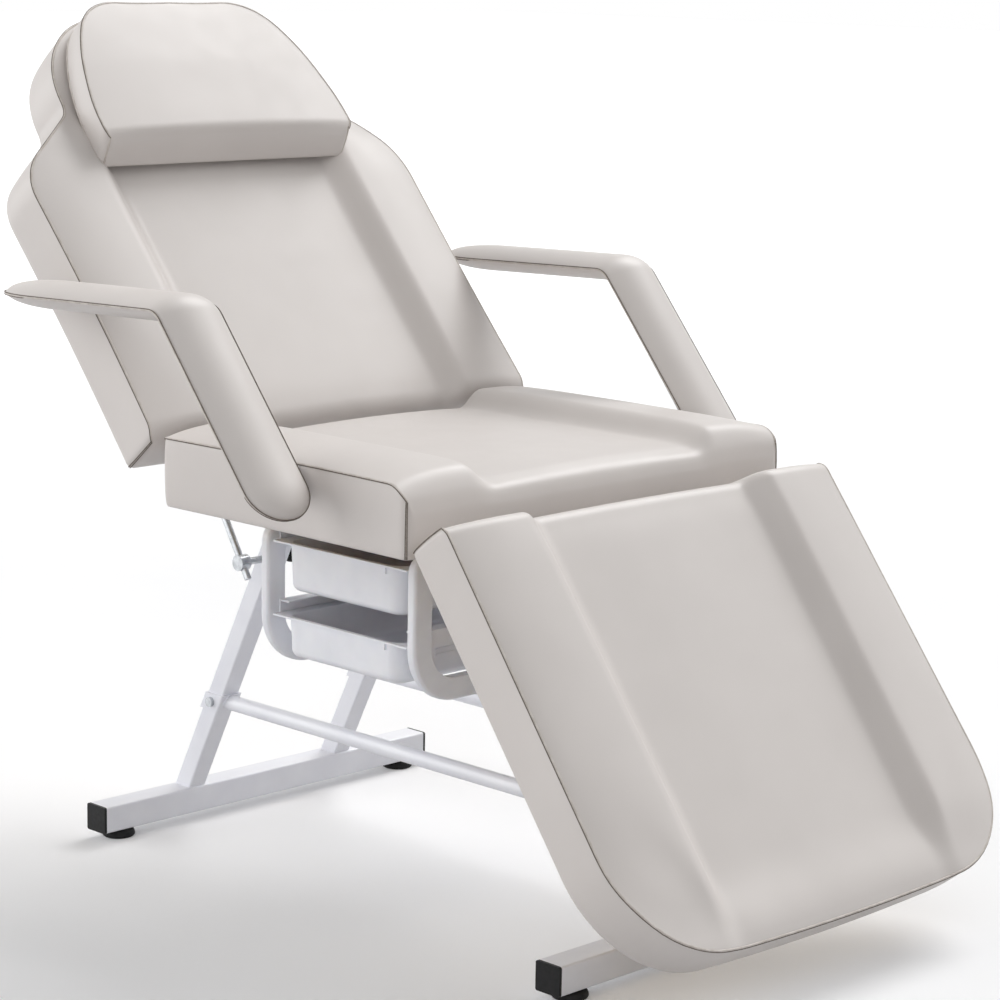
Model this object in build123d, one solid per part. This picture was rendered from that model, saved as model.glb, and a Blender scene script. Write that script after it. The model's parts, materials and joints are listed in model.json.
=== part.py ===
from build123d import *
import os
from math import atan2, cos, degrees, radians, sin, sqrt, tan

os.makedirs("parts", exist_ok=True)

# A reclining treatment chair: three padded sections on a white tube base with two trays.
# X runs across, Y from the legrest to the backrest, Z up from the floor, all in millimetres.
# The sitter's right is at -X. While it is built, Y is counted from the seat's front edge;
# the last step moves everything so that the origin is under the middle of the whole chair.

# Seat cushion
seat_width = 700
seat_depth = 468
seat_thickness = 93
seat_height = 606
seat_front_roll = 24
seat_corner = 12

# Backrest cushion, reclined
backrest_width = 700
backrest_thickness = 79
backrest_tilt = 49.3
backrest_gap = 13
backrest_drop = 3
backrest_straight = 395
shoulder_x = 318
shoulder_y = 461
neck_top_x = 245
neck_top_y = 520
neck_x = 229
neck_y = 553
head_side_x = 206
head_side_y = 630
head_corner_x = 130
head_corner_y = 690
backrest_length = 711
backrest_corner = 10

# Legrest cushion, hanging forward
legrest_width = 714
legrest_mid_width = 724
legrest_thickness = 70
legrest_tilt = 52.7
legrest_gap = 16
legrest_rise = 16
legrest_length = 592
legrest_side_length = 588
legrest_corner = 8
legrest_round = 148

# What the three cushions share: a low middle between two side bolsters
channel_half = 185
channel_slope = 50
bolster_crown = 12
channel_depth = 13
channel_crown = 4
bolster_shoulder = 25
bolster_shoulder_drop = 4
side_draw = 3
end_fall = 8
end_fall_length = 46

# Head pillow, in front of the backrest's head part
pillow_width = 456
pillow_thickness = 46
pillow_crown = 8
pillow_base_back = 434
pillow_base_front = 456
pillow_corner = 14
pillow_side_x = 215
pillow_side_y = 560
pillow_cheek_x = 180
pillow_cheek_y = 645
pillow_flat_half = 95
pillow_top = 689

# Boards under the cushions
board_thickness = 12
board_inset = 14

# Armrest pads
arm_pad_width = 108
arm_pad_thickness = 38
arm_side_gap = 7
arm_elbow_y = 345
arm_elbow_rise = 191
arm_elbow_radius = 28
arm_rear_y = 612
arm_rear_rise = 183
arm_rear_taper = 104
arm_lower_y = 172
arm_lower_drop = 21
arm_lower_taper = 44
arm_rear_shares = ((0, 1, 1), (0.5, 0.86, 0.85), (0.85, 0.52, 0.55), (1, 0.14, 0.2))
arm_lower_shares = ((0, 1, 1), (0.42, 0.92, 0.92), (0.78, 0.66, 0.7), (1, 0.26, 0.36))

# Armrest fixing
arm_plate_thickness = 4
arm_plate_length = 76
arm_plate_height = 52
arm_plate_y = 236
arm_flange_width = 52
arm_flange_length = 140
arm_flange_foot = 38
arm_bolt_radius = 4
arm_bolt_head_radius = 7
arm_bolt_head = 2.4
arm_bolt_spacing = 30
anchor_thickness = 5
anchor_depth = 12
anchor_height = 66
anchor_length = 90
anchor_foot = 40

# Frame tubes
frame_tube = 25
frame_tube_low = 20
tube_wall = 2
tube_corner = 3
rail_x = 140
cushion_rail_x = 175.5
seat_rail_front = 3
seat_rail_over = 8
seat_crossbar_front = 60
seat_crossbar_inset = 58
cushion_rail_start = 14
backrest_rail_length = 520
legrest_rail_length = 400
backrest_bar_low = 190
backrest_bar_high = 470
legrest_bar_low = 380

# Hinges
ear_thickness = 5
ear_gap = 0.5
ear_radius = 11
ear_foot = 36
hinge_pin_radius = 5
hinge_head_radius = 8
hinge_head = 3
backrest_pivot_out = 14
backrest_pivot_deep = 30
legrest_pivot_y = 10
legrest_pivot_rise = 7
legrest_ear_radius = 8
legrest_pin_radius = 4
ear_seat_clearance = 3

# Stays: a rod hinged on the moving frame slides through a swivel eye on the leg
stay_radius = 5
stay_end_radius = 9
stay_end_width = 9
stay_pin_radius = 4
stay_over = 11
backrest_stay_x = 195
backrest_stay_drop = 75
backrest_stay_tilt_max = 60
legrest_stay_x = 95
legrest_stay_drop = 153
legrest_stay_depth = 32
legrest_lug_thickness = 4
legrest_lug_gap = 0.5
eye_radius = 11
eye_width = 16
eye_shank_radius = 5
eye_bolt_head_radius = 9
eye_bolt_head = 5
knob_radius = 11
knob_neck_radius = 7
knob_neck = 7

# Base
leg_tube = 30
foot_bar_length = 620
foot_bar_depth = 40
foot_bar_height = 38
foot_clearance = 13
rear_foot_behind = 200
front_foot_y = -214
rear_leg_inset = 16
front_leg_top_y = 22
joint_height = 189
collar_height = 24
collar_wall = 3
side_bar_radius = 11
leg_bolt_head_radius = 7
leg_bolt_head = 5
cap_thickness = 4
cap_plug = 18
cap_wall = 2
foot_pad_radius = 23
foot_pad_sole = 19
foot_pad_rim = 4
foot_pad_height = 12
foot_neck_radius = 10
foot_inset = 40
foot_stud_radius = 5
foot_stud_length = 30

# Tray rings, rails and trays
ring_width = 480
ring_depth = 16
ring_bar = 30
ring_height = 197
ring_front_y = 98
ring_rear_inset = 70
ring_corner = 75
ring_corner_top = 24
ring_hole_corner = 45
ring_hole_corner_top = 12
ring_edge = 5
rail_depth = 20
rail_height = 22
rail_wall = 2.5
rail_length = 440
upper_rail_drop = 26
lower_rail_drop = 126
tray_length = 470
tray_wall = 2.5
tray_side_gap = 2
tray_flange_gap = 2
upper_tray_depth = 66
lower_tray_depth = 56
tray_corner = 22
tray_draft = 3
tray_lip = 4
tray_tab_width = 7
tray_tab_height = 9
tray_tab_thickness = 2
tray_tab_inset = 29
tray_rib_count = 3
tray_rib_height = 2.4
tray_rib_proud = 1.2
tray_rib_first = 9
tray_rib_spacing = 7.5
tray_rib_inset = 70

# Shared by many pieces
running_clearance = 0.08
seat_gap = 0.3
overrun = 5

# Worked out from the sizes above
seat_bottom = seat_height - seat_thickness
frame_bottom = seat_bottom - frame_tube
arm_elbow_height = seat_height + arm_elbow_rise
arm_rear_height = seat_height + arm_rear_rise
arm_lower_height = seat_height - arm_lower_drop
legrest_pivot_height = seat_bottom + legrest_pivot_rise
backrest_stay_height = frame_bottom - backrest_stay_drop
legrest_stay_height = frame_bottom - legrest_stay_drop
ring_bottom = frame_bottom - ring_height
upper_rail_height = frame_bottom - upper_rail_drop
lower_rail_height = frame_bottom - lower_rail_drop
seat_rail_rear = seat_depth + seat_rail_over
seat_crossbar_rear = seat_depth - seat_crossbar_inset
rear_foot_y = seat_depth + rear_foot_behind
rear_leg_top_y = seat_depth - rear_leg_inset
ring_rear_y = seat_depth - ring_rear_inset


def unit(angle):
    """Direction in the YZ plane, as a pair, at an angle above +Y."""
    return cos(radians(angle)), sin(radians(angle))


def distance(start, end):
    return sqrt((end[0] - start[0]) ** 2 + (end[1] - start[1]) ** 2)


def arc_chain(start, heading, points):
    """Arcs that run on from one another through the points; heading is in degrees."""
    edges = []
    here = start
    for point in points:
        across, along = cos(radians(heading)), sin(radians(heading))
        edges.append(TangentArc(here, point, tangent=(across, along)))
        chord = degrees(atan2(point[1] - here[1], point[0] - here[0]))
        heading = 2 * chord - heading
        here = point
    return edges


def mirrored(edges):
    """The edges with their mirror images on the other side of x = 0."""
    return edges + [edge.mirror(Plane.YZ) for edge in edges]


def face_of(curves):
    edges = [edge for curve in curves for edge in curve.edges()]
    return make_face(Wire(edges))


def span(x_low, x_high, y_low, y_high, z_low, z_high):
    """A box given by its two corners."""
    block = Box(x_high - x_low, y_high - y_low, z_high - z_low)
    return Pos((x_low + x_high) / 2, (y_low + y_high) / 2, (z_low + z_high) / 2) * block


def tube_section(width, depth, wall=tube_wall):
    outer = RectangleRounded(width, depth, tube_corner)
    inner = RectangleRounded(width - 2 * wall, depth - 2 * wall, tube_corner - wall)
    return outer - inner


def rod_x(radius, x_low, x_high, y, z):
    """A round bar along X."""
    bar = Cylinder(radius, x_high - x_low)
    return Pos((x_low + x_high) / 2, y, z) * Rot(0, 90, 0) * bar


def both_sides(piece):
    """A piece and its mirror image."""
    return [piece, mirror(piece, about=Plane.YZ)]


def plate_yz(outline, x_low, x_high):
    """A flat plate whose outline lies in the YZ plane."""
    plane = Plane(origin=(x_low, 0, 0), x_dir=(0, 1, 0), z_dir=(1, 0, 0))
    return extrude(plane * outline, x_high - x_low)


def outline_of(points):
    return make_face(Polyline(*points, close=True))


# Places of the three sections. A section's own frame has x across, y along it from the
# seat, z up from its underside.
backrest_along = unit(backrest_tilt)
backrest_deep = (backrest_along[1], -backrest_along[0])
backrest_y = seat_depth + backrest_gap
backrest_z = seat_height - backrest_drop
backrest_plane = Plane(
    origin=(0, backrest_y + backrest_thickness * backrest_deep[0],
            backrest_z + backrest_thickness * backrest_deep[1]),
    x_dir=(1, 0, 0),
    z_dir=(0, -backrest_deep[0], -backrest_deep[1]),
)
legrest_along = (-cos(radians(legrest_tilt)), -sin(radians(legrest_tilt)))
legrest_up = (legrest_along[1], -legrest_along[0])
legrest_y = -legrest_gap
legrest_z = seat_bottom + legrest_rise
legrest_plane = Plane(
    origin=(0, legrest_y, legrest_z),
    x_dir=(-1, 0, 0),
    z_dir=(0, legrest_up[0], legrest_up[1]),
)


def at_backrest(y, z):
    """Chair Y and Z of a point in the backrest's own frame."""
    point = backrest_plane.from_local_coords((0, y, z))
    return point.Y, point.Z


def at_legrest(y, z):
    point = legrest_plane.from_local_coords((0, y, z))
    return point.Y, point.Z


# Pivots
backrest_pivot = at_backrest(-backrest_pivot_out, backrest_thickness - backrest_pivot_deep)
legrest_pivot = (-legrest_pivot_y, legrest_pivot_height)
legrest_pivot_local = legrest_plane.to_local_coords((0, legrest_pivot[0], legrest_pivot[1]))
leg_base = foot_clearance + foot_bar_height


def leg_y(height, foot_y, top_y):
    """Y of a leg's centre line at a height above the floor."""
    share = (height - leg_base) / (frame_bottom - leg_base)
    return foot_y + share * (top_y - foot_y)


def rear_leg_y(height):
    return leg_y(height, rear_foot_y, rear_leg_top_y)


def front_leg_y(height):
    return leg_y(height, front_foot_y, front_leg_top_y)


# Each stay's two pivots lie at the same distance from the hinge, so that the rod and its
# eye turn by exactly half the section's turn and the rod always runs through the eye.
backrest_eye = (rear_leg_y(backrest_stay_height), backrest_stay_height)
backrest_reach = distance(backrest_eye, backrest_pivot)
backrest_pin_z = -frame_tube_low / 2
backrest_pin_deep = backrest_thickness - backrest_pivot_deep - backrest_pin_z
backrest_pin_y = sqrt(backrest_reach ** 2 - backrest_pin_deep ** 2) - backrest_pivot_out
backrest_pin = at_backrest(backrest_pin_y, backrest_pin_z)
legrest_eye = (front_leg_y(legrest_stay_height), legrest_stay_height)
legrest_reach = distance(legrest_eye, legrest_pivot)
legrest_pin_z = -legrest_stay_depth
legrest_pin_drop = legrest_pivot_local.Z - legrest_pin_z
legrest_pin_y = legrest_pivot_local.Y + sqrt(legrest_reach ** 2 - legrest_pin_drop ** 2)
legrest_pin = at_legrest(legrest_pin_y, legrest_pin_z)


def bearing(start, end):
    return degrees(atan2(end[1] - start[1], end[0] - start[0]))


def stay_length(reach, hinge, eye, pin, swing):
    """Distance from pin to eye when the section has swung by some degrees."""
    apex = abs((bearing(hinge, pin) - bearing(hinge, eye) + swing + 180) % 360 - 180)
    return 2 * reach * sin(radians(apex / 2))


backrest_rod_length = stay_over + stay_length(
    backrest_reach, backrest_pivot, backrest_eye, backrest_pin, backrest_stay_tilt_max - backrest_tilt)
legrest_rod_length = stay_over + stay_length(
    legrest_reach, legrest_pivot, legrest_eye, legrest_pin, -legrest_tilt)


# Cushions
def cushion_section(half, thickness, length):
    """The section across a cushion, run along its whole length."""
    floor = thickness - channel_depth
    crest = thickness + bolster_crown
    middle = channel_half + channel_slope / 2
    top = arc_chain(
        (0, floor + channel_crown), 0,
        [(channel_half, floor), (middle, (floor + crest) / 2), (channel_half + channel_slope, crest),
         (half - bolster_shoulder, crest - bolster_shoulder_drop), (half + side_draw, thickness)],
    )
    side = Line((half + side_draw, thickness), (half + side_draw, 0))
    base = Line((half + side_draw, 0), (-half - side_draw, 0))
    section = face_of(mirrored(top + [side]) + [base])
    plane = Plane(origin=(0, 0, 0), x_dir=(1, 0, 0), z_dir=(0, -1, 0))
    return extrude(plane * section, -length - overrun) + extrude(plane * section, overrun)


def side_fall(length, thickness, width, near_roll, far_roll):
    """The cushion seen from its side: the top falls towards both ends."""
    crest = thickness + bolster_crown + overrun
    plane = Plane(origin=(-width / 2 - overrun, 0, 0), x_dir=(0, 1, 0), z_dir=(1, 0, 0))
    outline = face_of([
        Line((0, 0), (0, thickness - near_roll)),
        *arc_chain((0, thickness - near_roll), 90 - end_fall, [(end_fall_length, crest)]),
        Line((end_fall_length, crest), (length - end_fall_length, crest)),
        TangentArc((length, thickness - far_roll), (length - end_fall_length, crest),
                   tangent=(-sin(radians(end_fall)), cos(radians(end_fall)))),
        Line((length, thickness - far_roll), (length, 0)),
        Line((length, 0), (0, 0)),
    ])
    return extrude(plane * outline, width + 2 * overrun)


def formed_cushion(outline, half, thickness, length, near_roll, far_roll):
    body = extrude(outline, thickness + bolster_crown + overrun)
    body = body & cushion_section(half, thickness, length)
    return body & side_fall(length, thickness, 2 * half, near_roll, far_roll)


def board_outline(outline):
    return offset(outline, -board_inset)


def with_pocket(cushion, outline):
    """The cushion with the recess in its underside that its board fills."""
    return cushion - extrude(board_outline(outline), board_thickness)


def board(outline):
    return extrude(board_outline(outline), board_thickness)


def drawn_side(half, low, high):
    """A long side, drawn in a little at its middle."""
    return ThreePointArc((half, low), (half - side_draw, (low + high) / 2), (half, high))


def seat_outline():
    half = seat_width / 2
    right = [
        Line((0, 0), (half - seat_corner, 0)),
        TangentArc((half - seat_corner, 0), (half, seat_corner), tangent=(1, 0)),
        drawn_side(half, seat_corner, seat_depth - seat_corner),
        TangentArc((half - seat_corner, seat_depth), (half, seat_depth - seat_corner), tangent=(1, 0)),
        Line((half - seat_corner, seat_depth), (0, seat_depth)),
    ]
    return face_of(mirrored(right))


def backrest_outline():
    half = backrest_width / 2
    right = [
        Line((0, 0), (half - backrest_corner, 0)),
        TangentArc((half - backrest_corner, 0), (half, backrest_corner), tangent=(1, 0)),
        drawn_side(half, backrest_corner, backrest_straight),
        *arc_chain((half, backrest_straight), 90, [
            (shoulder_x, shoulder_y), (neck_top_x, neck_top_y), (neck_x, neck_y),
            (head_side_x, head_side_y), (head_corner_x, head_corner_y), (0, backrest_length)]),
    ]
    return face_of(mirrored(right))


def legrest_outline():
    half = legrest_width / 2
    mid = legrest_mid_width / 2
    right = [
        Line((0, 0), (half - legrest_corner, 0)),
        TangentArc((half - legrest_corner, 0), (half, legrest_corner), tangent=(1, 0)),
        Line((half, legrest_corner), (mid, legrest_side_length - legrest_round)),
        TangentArc((mid, legrest_side_length - legrest_round), (mid - legrest_round, legrest_side_length),
                   tangent=(0, 1)),
        TangentArc((0, legrest_length), (mid - legrest_round, legrest_side_length), tangent=(1, 0)),
    ]
    return face_of(mirrored(right))


def pillow():
    half = pillow_width / 2
    low = pillow_base_back
    right = [
        Line((0, low), (half - pillow_corner, low)),
        TangentArc((half - pillow_corner, low), (half, low + pillow_corner), tangent=(1, 0)),
        *arc_chain((half, low + pillow_corner), 90, [
            (pillow_side_x, pillow_side_y), (pillow_cheek_x, pillow_cheek_y),
            (pillow_flat_half, pillow_top), (0, pillow_top)]),
    ]
    outline = face_of(mirrored(right))
    body = extrude(outline, pillow_thickness + pillow_crown)
    front = face_of([
        Line((-half - overrun, 0), (half + overrun, 0)),
        Line((half + overrun, 0), (half + overrun, pillow_thickness)),
        ThreePointArc((half + overrun, pillow_thickness), (0, pillow_thickness + pillow_crown),
                      (-half - overrun, pillow_thickness)),
        Line((-half - overrun, pillow_thickness), (-half - overrun, 0)),
    ])
    across = Plane(origin=(0, 0, 0), x_dir=(1, 0, 0), z_dir=(0, -1, 0))
    body = body & extrude(across * front, -pillow_top - overrun)
    lean = pillow_base_front - pillow_base_back
    wedge = face_of([Polyline(
        (pillow_base_back - overrun, 0), (pillow_base_back, 0),
        (pillow_base_front, pillow_thickness), (pillow_base_front + lean, 2 * pillow_thickness),
        (pillow_base_back - overrun, 2 * pillow_thickness), close=True)])
    side = Plane(origin=(-half - overrun, 0, 0), x_dir=(0, 1, 0), z_dir=(1, 0, 0))
    body = body - extrude(side * wedge, pillow_width + 2 * overrun)
    return Pos(0, 0, backrest_thickness + bolster_crown + seat_gap) * body


nodes = {}


def keep(name, solids, plane=None):
    """Record a node; pieces made in a section's own frame are placed by its plane."""
    pieces = solids if isinstance(solids, list) else [solids]
    if plane is not None:
        pieces = [plane * piece for piece in pieces]
    nodes[name] = pieces


def make_cushions():
    seat = formed_cushion(seat_outline(), seat_width / 2, seat_thickness, seat_depth, seat_front_roll, 0)
    seat = with_pocket(seat, seat_outline())
    at_seat = Plane(origin=(0, 0, seat_bottom), x_dir=(1, 0, 0), z_dir=(0, 0, 1))
    for side in (-1, 1):
        pocket, _ = arm_anchor(side)
        seat = seat - Pos(0, 0, -seat_bottom) * pocket
        for hole in arm_bolt_shanks(side):
            seat = seat - Pos(0, 0, -seat_bottom) * hole
    keep("seat_cushion", seat, at_seat)
    keep("seat_board", board(seat_outline()), at_seat)

    back = formed_cushion(
        backrest_outline(), backrest_width / 2, backrest_thickness, backrest_length, 0, 0)
    keep("backrest_cushion", with_pocket(back, backrest_outline()), backrest_plane)
    keep("backrest_board", board(backrest_outline()), backrest_plane)

    leg = formed_cushion(
        legrest_outline(), legrest_mid_width / 2, legrest_thickness, legrest_length, 0, 0)
    keep("legrest_cushion", with_pocket(leg, legrest_outline()), legrest_plane)
    keep("legrest_board", board(legrest_outline()), legrest_plane)

    keep("head_pillow", pillow(), backrest_plane)


# Armrests
arm_middle_x = seat_width / 2 + arm_side_gap + arm_pad_width / 2
arm_rear = (arm_rear_y, arm_rear_height)
arm_elbow = (arm_elbow_y, arm_elbow_height)
arm_lower = (arm_lower_y, arm_lower_height)
arm_rear_angle = bearing(arm_elbow, arm_rear)
arm_lower_angle = bearing(arm_elbow, arm_lower)


def arm_section(width, thickness, place, angle):
    """A lens across the pad, on a plane square to its run."""
    run = unit(angle)
    plane = Plane(origin=(0, place[0], place[1]), x_dir=(1, 0, 0), z_dir=(0, run[0], run[1]))
    lens = face_of([
        ThreePointArc((-width / 2, 0), (0, thickness / 2), (width / 2, 0)),
        ThreePointArc((width / 2, 0), (0, -thickness / 2), (-width / 2, 0)),
    ])
    return plane * lens


def arm_end(place, angle, taper, shares):
    run = unit(angle)
    sections = []
    for along, wide, thick in shares:
        spot = (place[0] + along * taper * run[0], place[1] + along * taper * run[1])
        sections.append(arm_section(wide * arm_pad_width, thick * arm_pad_thickness, spot, angle))
    return loft(sections)


def arm_pad():
    path = FilletPolyline((0, *arm_rear), (0, *arm_elbow), (0, *arm_lower), radius=arm_elbow_radius)
    start = arm_section(arm_pad_width, arm_pad_thickness, arm_rear, arm_rear_angle)
    pad = sweep(start, path)
    pad = pad + arm_end(arm_rear, arm_rear_angle, arm_rear_taper, arm_rear_shares)
    pad = pad + arm_end(arm_lower, arm_lower_angle, arm_lower_taper, arm_lower_shares)
    return pad


arm_plate_x = seat_width / 2 - side_draw + seat_gap


def arm_plate_height_at():
    """Height of the side plate's middle: the seat's side, just under its top edge."""
    return seat_height - arm_plate_height / 2 - side_draw


def arm_bolt_places():
    return [(arm_plate_y - arm_bolt_spacing / 2, arm_plate_height_at()),
            (arm_plate_y + arm_bolt_spacing / 2, arm_plate_height_at())]


def arm_bolt_shanks(side):
    outer = arm_plate_x + arm_plate_thickness
    inner = seat_width / 2 - anchor_depth - anchor_thickness
    shanks = [rod_x(arm_bolt_radius, inner, outer, y, z) for y, z in arm_bolt_places()]
    return shanks if side > 0 else [mirror(shank, about=Plane.YZ) for shank in shanks]


def arm_bolts():
    outer = arm_plate_x + arm_plate_thickness
    solids = []
    for y, z in arm_bolt_places():
        head = rod_x(arm_bolt_head_radius, outer, outer + arm_bolt_head, y, z)
        shank = rod_x(arm_bolt_radius, seat_width / 2 - anchor_depth - anchor_thickness, outer, y, z)
        solids += both_sides(head + shank)
    return solids


def arm_bracket():
    """A side plate against the seat with a flange that runs up behind the pad."""
    middle = arm_plate_height_at()
    plate = span(arm_plate_x, arm_plate_x + arm_plate_thickness,
                 arm_plate_y - arm_plate_length / 2, arm_plate_y + arm_plate_length / 2,
                 middle - arm_plate_height / 2, middle + arm_plate_height / 2)
    outer = arm_plate_x + arm_plate_thickness
    for y, z in arm_bolt_places():
        plate = plate - rod_x(arm_bolt_radius, arm_plate_x - overrun, outer + overrun, y, z)
    up = unit(arm_lower_angle + 180)
    back = (up[1], -up[0])
    depth = arm_pad_thickness / 2 + seat_gap
    thick = arm_plate_thickness
    start = (arm_lower[0] + depth * back[0], arm_lower[1] + depth * back[1])

    def strip(length, x_low):
        end = (start[0] + length * up[0], start[1] + length * up[1])
        outline = outline_of([
            start, end, (end[0] + thick * back[0], end[1] + thick * back[1]),
            (start[0] + thick * back[0], start[1] + thick * back[1])])
        return plate_yz(outline, x_low, arm_middle_x + arm_flange_width / 2)

    plate = plate + strip(arm_flange_foot, arm_plate_x)
    return plate + strip(arm_flange_length, arm_middle_x - arm_flange_width / 2)


def arm_anchor(side):
    """The steel angle inside the seat, on its board, that the armrest bolts screw into."""
    inner = seat_width / 2 - anchor_depth - anchor_thickness
    low = seat_bottom + board_thickness
    upright = span(inner, inner + anchor_thickness, arm_plate_y - anchor_length / 2,
                   arm_plate_y + anchor_length / 2, low, low + anchor_height)
    foot = span(inner - anchor_foot, inner, arm_plate_y - anchor_length / 2,
                arm_plate_y + anchor_length / 2, low, low + anchor_thickness)
    pocket = upright + foot
    angle = pocket
    for y, z in arm_bolt_places():
        angle = angle - rod_x(arm_bolt_radius, inner - overrun, inner + anchor_thickness + overrun, y, z)
    if side > 0:
        return pocket, angle
    return mirror(pocket, about=Plane.YZ), mirror(angle, about=Plane.YZ)


def make_armrests():
    pad = arm_pad()
    keep("armrest_pad_right", Pos(-arm_middle_x, 0, 0) * pad)
    keep("armrest_pad_left", Pos(arm_middle_x, 0, 0) * pad)
    bracket = arm_bracket()
    keep("armrest_bracket_right", mirror(bracket, about=Plane.YZ))
    keep("armrest_bracket_left", bracket)
    keep("armrest_anchors", [arm_anchor(-1)[1], arm_anchor(1)[1]])
    keep("armrest_bolts", arm_bolts())


# Frames under the sections
def tube_along_y(width, height, x, y_low, y_high, z_low):
    plane = Plane(origin=(x, y_low, z_low + height / 2), x_dir=(1, 0, 0), z_dir=(0, 1, 0))
    return extrude(plane * tube_section(width, height), y_high - y_low)


def tube_along_x(depth, height, x_low, x_high, y, z_low):
    plane = Plane(origin=(x_low, y, z_low + height / 2), x_dir=(0, 1, 0), z_dir=(1, 0, 0))
    return extrude(plane * tube_section(depth, height), x_high - x_low)


ear_x = rail_x + frame_tube / 2
plate_x = ear_x + ear_thickness + ear_gap
rail_inner_x = cushion_rail_x - frame_tube / 2


def make_seat_frame():
    for side, name in ((-1, "right"), (1, "left")):
        keep("seat_rail_" + name, tube_along_y(
            frame_tube, frame_tube, side * rail_x, seat_rail_front, seat_rail_rear, frame_bottom))
    half = rail_x - frame_tube / 2
    keep("seat_crossbars", [
        tube_along_x(frame_tube, frame_tube, -half, half, y, frame_bottom)
        for y in (seat_crossbar_front, seat_crossbar_rear)])


def ear_with_hole(outline, radius, hole_radius, place):
    """A hinge ear: a plate with a round end about the pin's hole."""
    y, z = place
    ear = plate_yz(outline, ear_x, ear_x + ear_thickness)
    ear = ear + rod_x(radius, ear_x, ear_x + ear_thickness, y, z)
    return ear - rod_x(hole_radius, ear_x - overrun, plate_x + overrun, y, z)


def rear_ear():
    """Plate on the seat rail that rises behind the seat to the backrest's hinge pin."""
    y, z = backrest_pivot
    low = seat_depth + ear_seat_clearance
    arm = outline_of([
        (seat_rail_rear - ear_foot, frame_bottom), (seat_rail_rear, frame_bottom),
        (y + ear_radius, z), (y - ear_radius, z), (low, seat_bottom),
        (seat_rail_rear - ear_foot, seat_bottom)])
    return ear_with_hole(arm, ear_radius, hinge_pin_radius, (y, z))


def front_ear():
    y, z = legrest_pivot
    radius = legrest_ear_radius
    arm = outline_of([
        (seat_rail_front + ear_foot, frame_bottom), (seat_rail_front + ear_foot, seat_bottom),
        (-ear_seat_clearance, seat_bottom), (y + radius, z), (y - radius, z),
        (y - radius, frame_bottom + radius), (y, frame_bottom)])
    return ear_with_hole(arm, radius, legrest_pin_radius, legrest_pivot)


def hinge_pin(radius, head_radius, place):
    """Pin fast in the seat's ear, with a head outside the moving plate."""
    y, z = place
    outer = plate_x + ear_thickness + ear_gap
    shank = rod_x(radius, ear_x - hinge_head, outer, y, z)
    head = rod_x(head_radius, outer, outer + hinge_head, y, z)
    tail = rod_x(head_radius, ear_x - hinge_head, ear_x, y, z)
    return shank + head + tail


def make_hinges():
    keep("rear_hinge_ears", both_sides(rear_ear()))
    keep("front_hinge_ears", both_sides(front_ear()))
    rear_pin = hinge_pin(hinge_pin_radius, hinge_head_radius, backrest_pivot)
    front_pin = hinge_pin(legrest_pin_radius, legrest_ear_radius, legrest_pivot)
    keep("backrest_hinge_pins", both_sides(rear_pin))
    keep("legrest_hinge_pins", both_sides(front_pin))


def moving_plate(outline, radius, pin_radius, place):
    """The plate that turns on a hinge pin, outside the fixed ear."""
    y, z = place
    outer = plate_x + ear_thickness
    plate = plate_yz(outline, plate_x, outer) + rod_x(radius, plate_x, outer, y, z)
    return plate - rod_x(pin_radius + running_clearance, plate_x - overrun, outer + overrun, y, z)


def backrest_hinge_plate():
    """From the rail, round the cushion's end, to the hinge pin, in the backrest's frame."""
    y = -backrest_pivot_out
    z = backrest_thickness - backrest_pivot_deep
    low = y - ear_radius
    high = y + ear_radius
    outline = outline_of([
        (low, z), (low, -frame_tube_low), (cushion_rail_start + ear_foot, -frame_tube_low),
        (cushion_rail_start + ear_foot, 0), (high, 0), (high, z)])
    return moving_plate(outline, ear_radius, hinge_pin_radius, (y, z))


def legrest_hinge_plate():
    y, z = legrest_pivot_local.Y, legrest_pivot_local.Z
    radius = legrest_ear_radius
    outline = outline_of([
        (y, z + radius), (y, z - radius), (cushion_rail_start + ear_foot, -frame_tube_low),
        (cushion_rail_start + ear_foot, 0), (cushion_rail_start, 0)])
    return moving_plate(outline, radius, legrest_pin_radius, (y, z))


def stay_pin():
    """Pin on the backrest rail's outer side that carries the stay rod."""
    inner = cushion_rail_x + frame_tube / 2
    outer = backrest_stay_x + stay_end_width / 2 + ear_gap
    shank = rod_x(stay_pin_radius, inner, outer, backrest_pin_y, backrest_pin_z)
    return shank + rod_x(hinge_head_radius, outer, outer + hinge_head, backrest_pin_y, backrest_pin_z)


def legrest_lug():
    """Two small plates and a pin under the legrest's upper crossbar, in the legrest's frame."""
    y, z, x = legrest_pin_y, legrest_pin_z, legrest_stay_x
    inside = stay_end_width / 2 + legrest_lug_gap
    outside = inside + legrest_lug_thickness
    outline = outline_of([
        (y - frame_tube / 2, -frame_tube_low), (y - stay_end_radius, z),
        (y + stay_end_radius, z), (y + frame_tube / 2, -frame_tube_low)])
    lug = rod_x(stay_pin_radius, x - outside, x + outside, y, z)
    for low, high in ((x - outside, x - inside), (x + inside, x + outside)):
        lug = lug + plate_yz(outline, low, high) + rod_x(stay_end_radius, low, high, y, z)
    return lug


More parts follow.
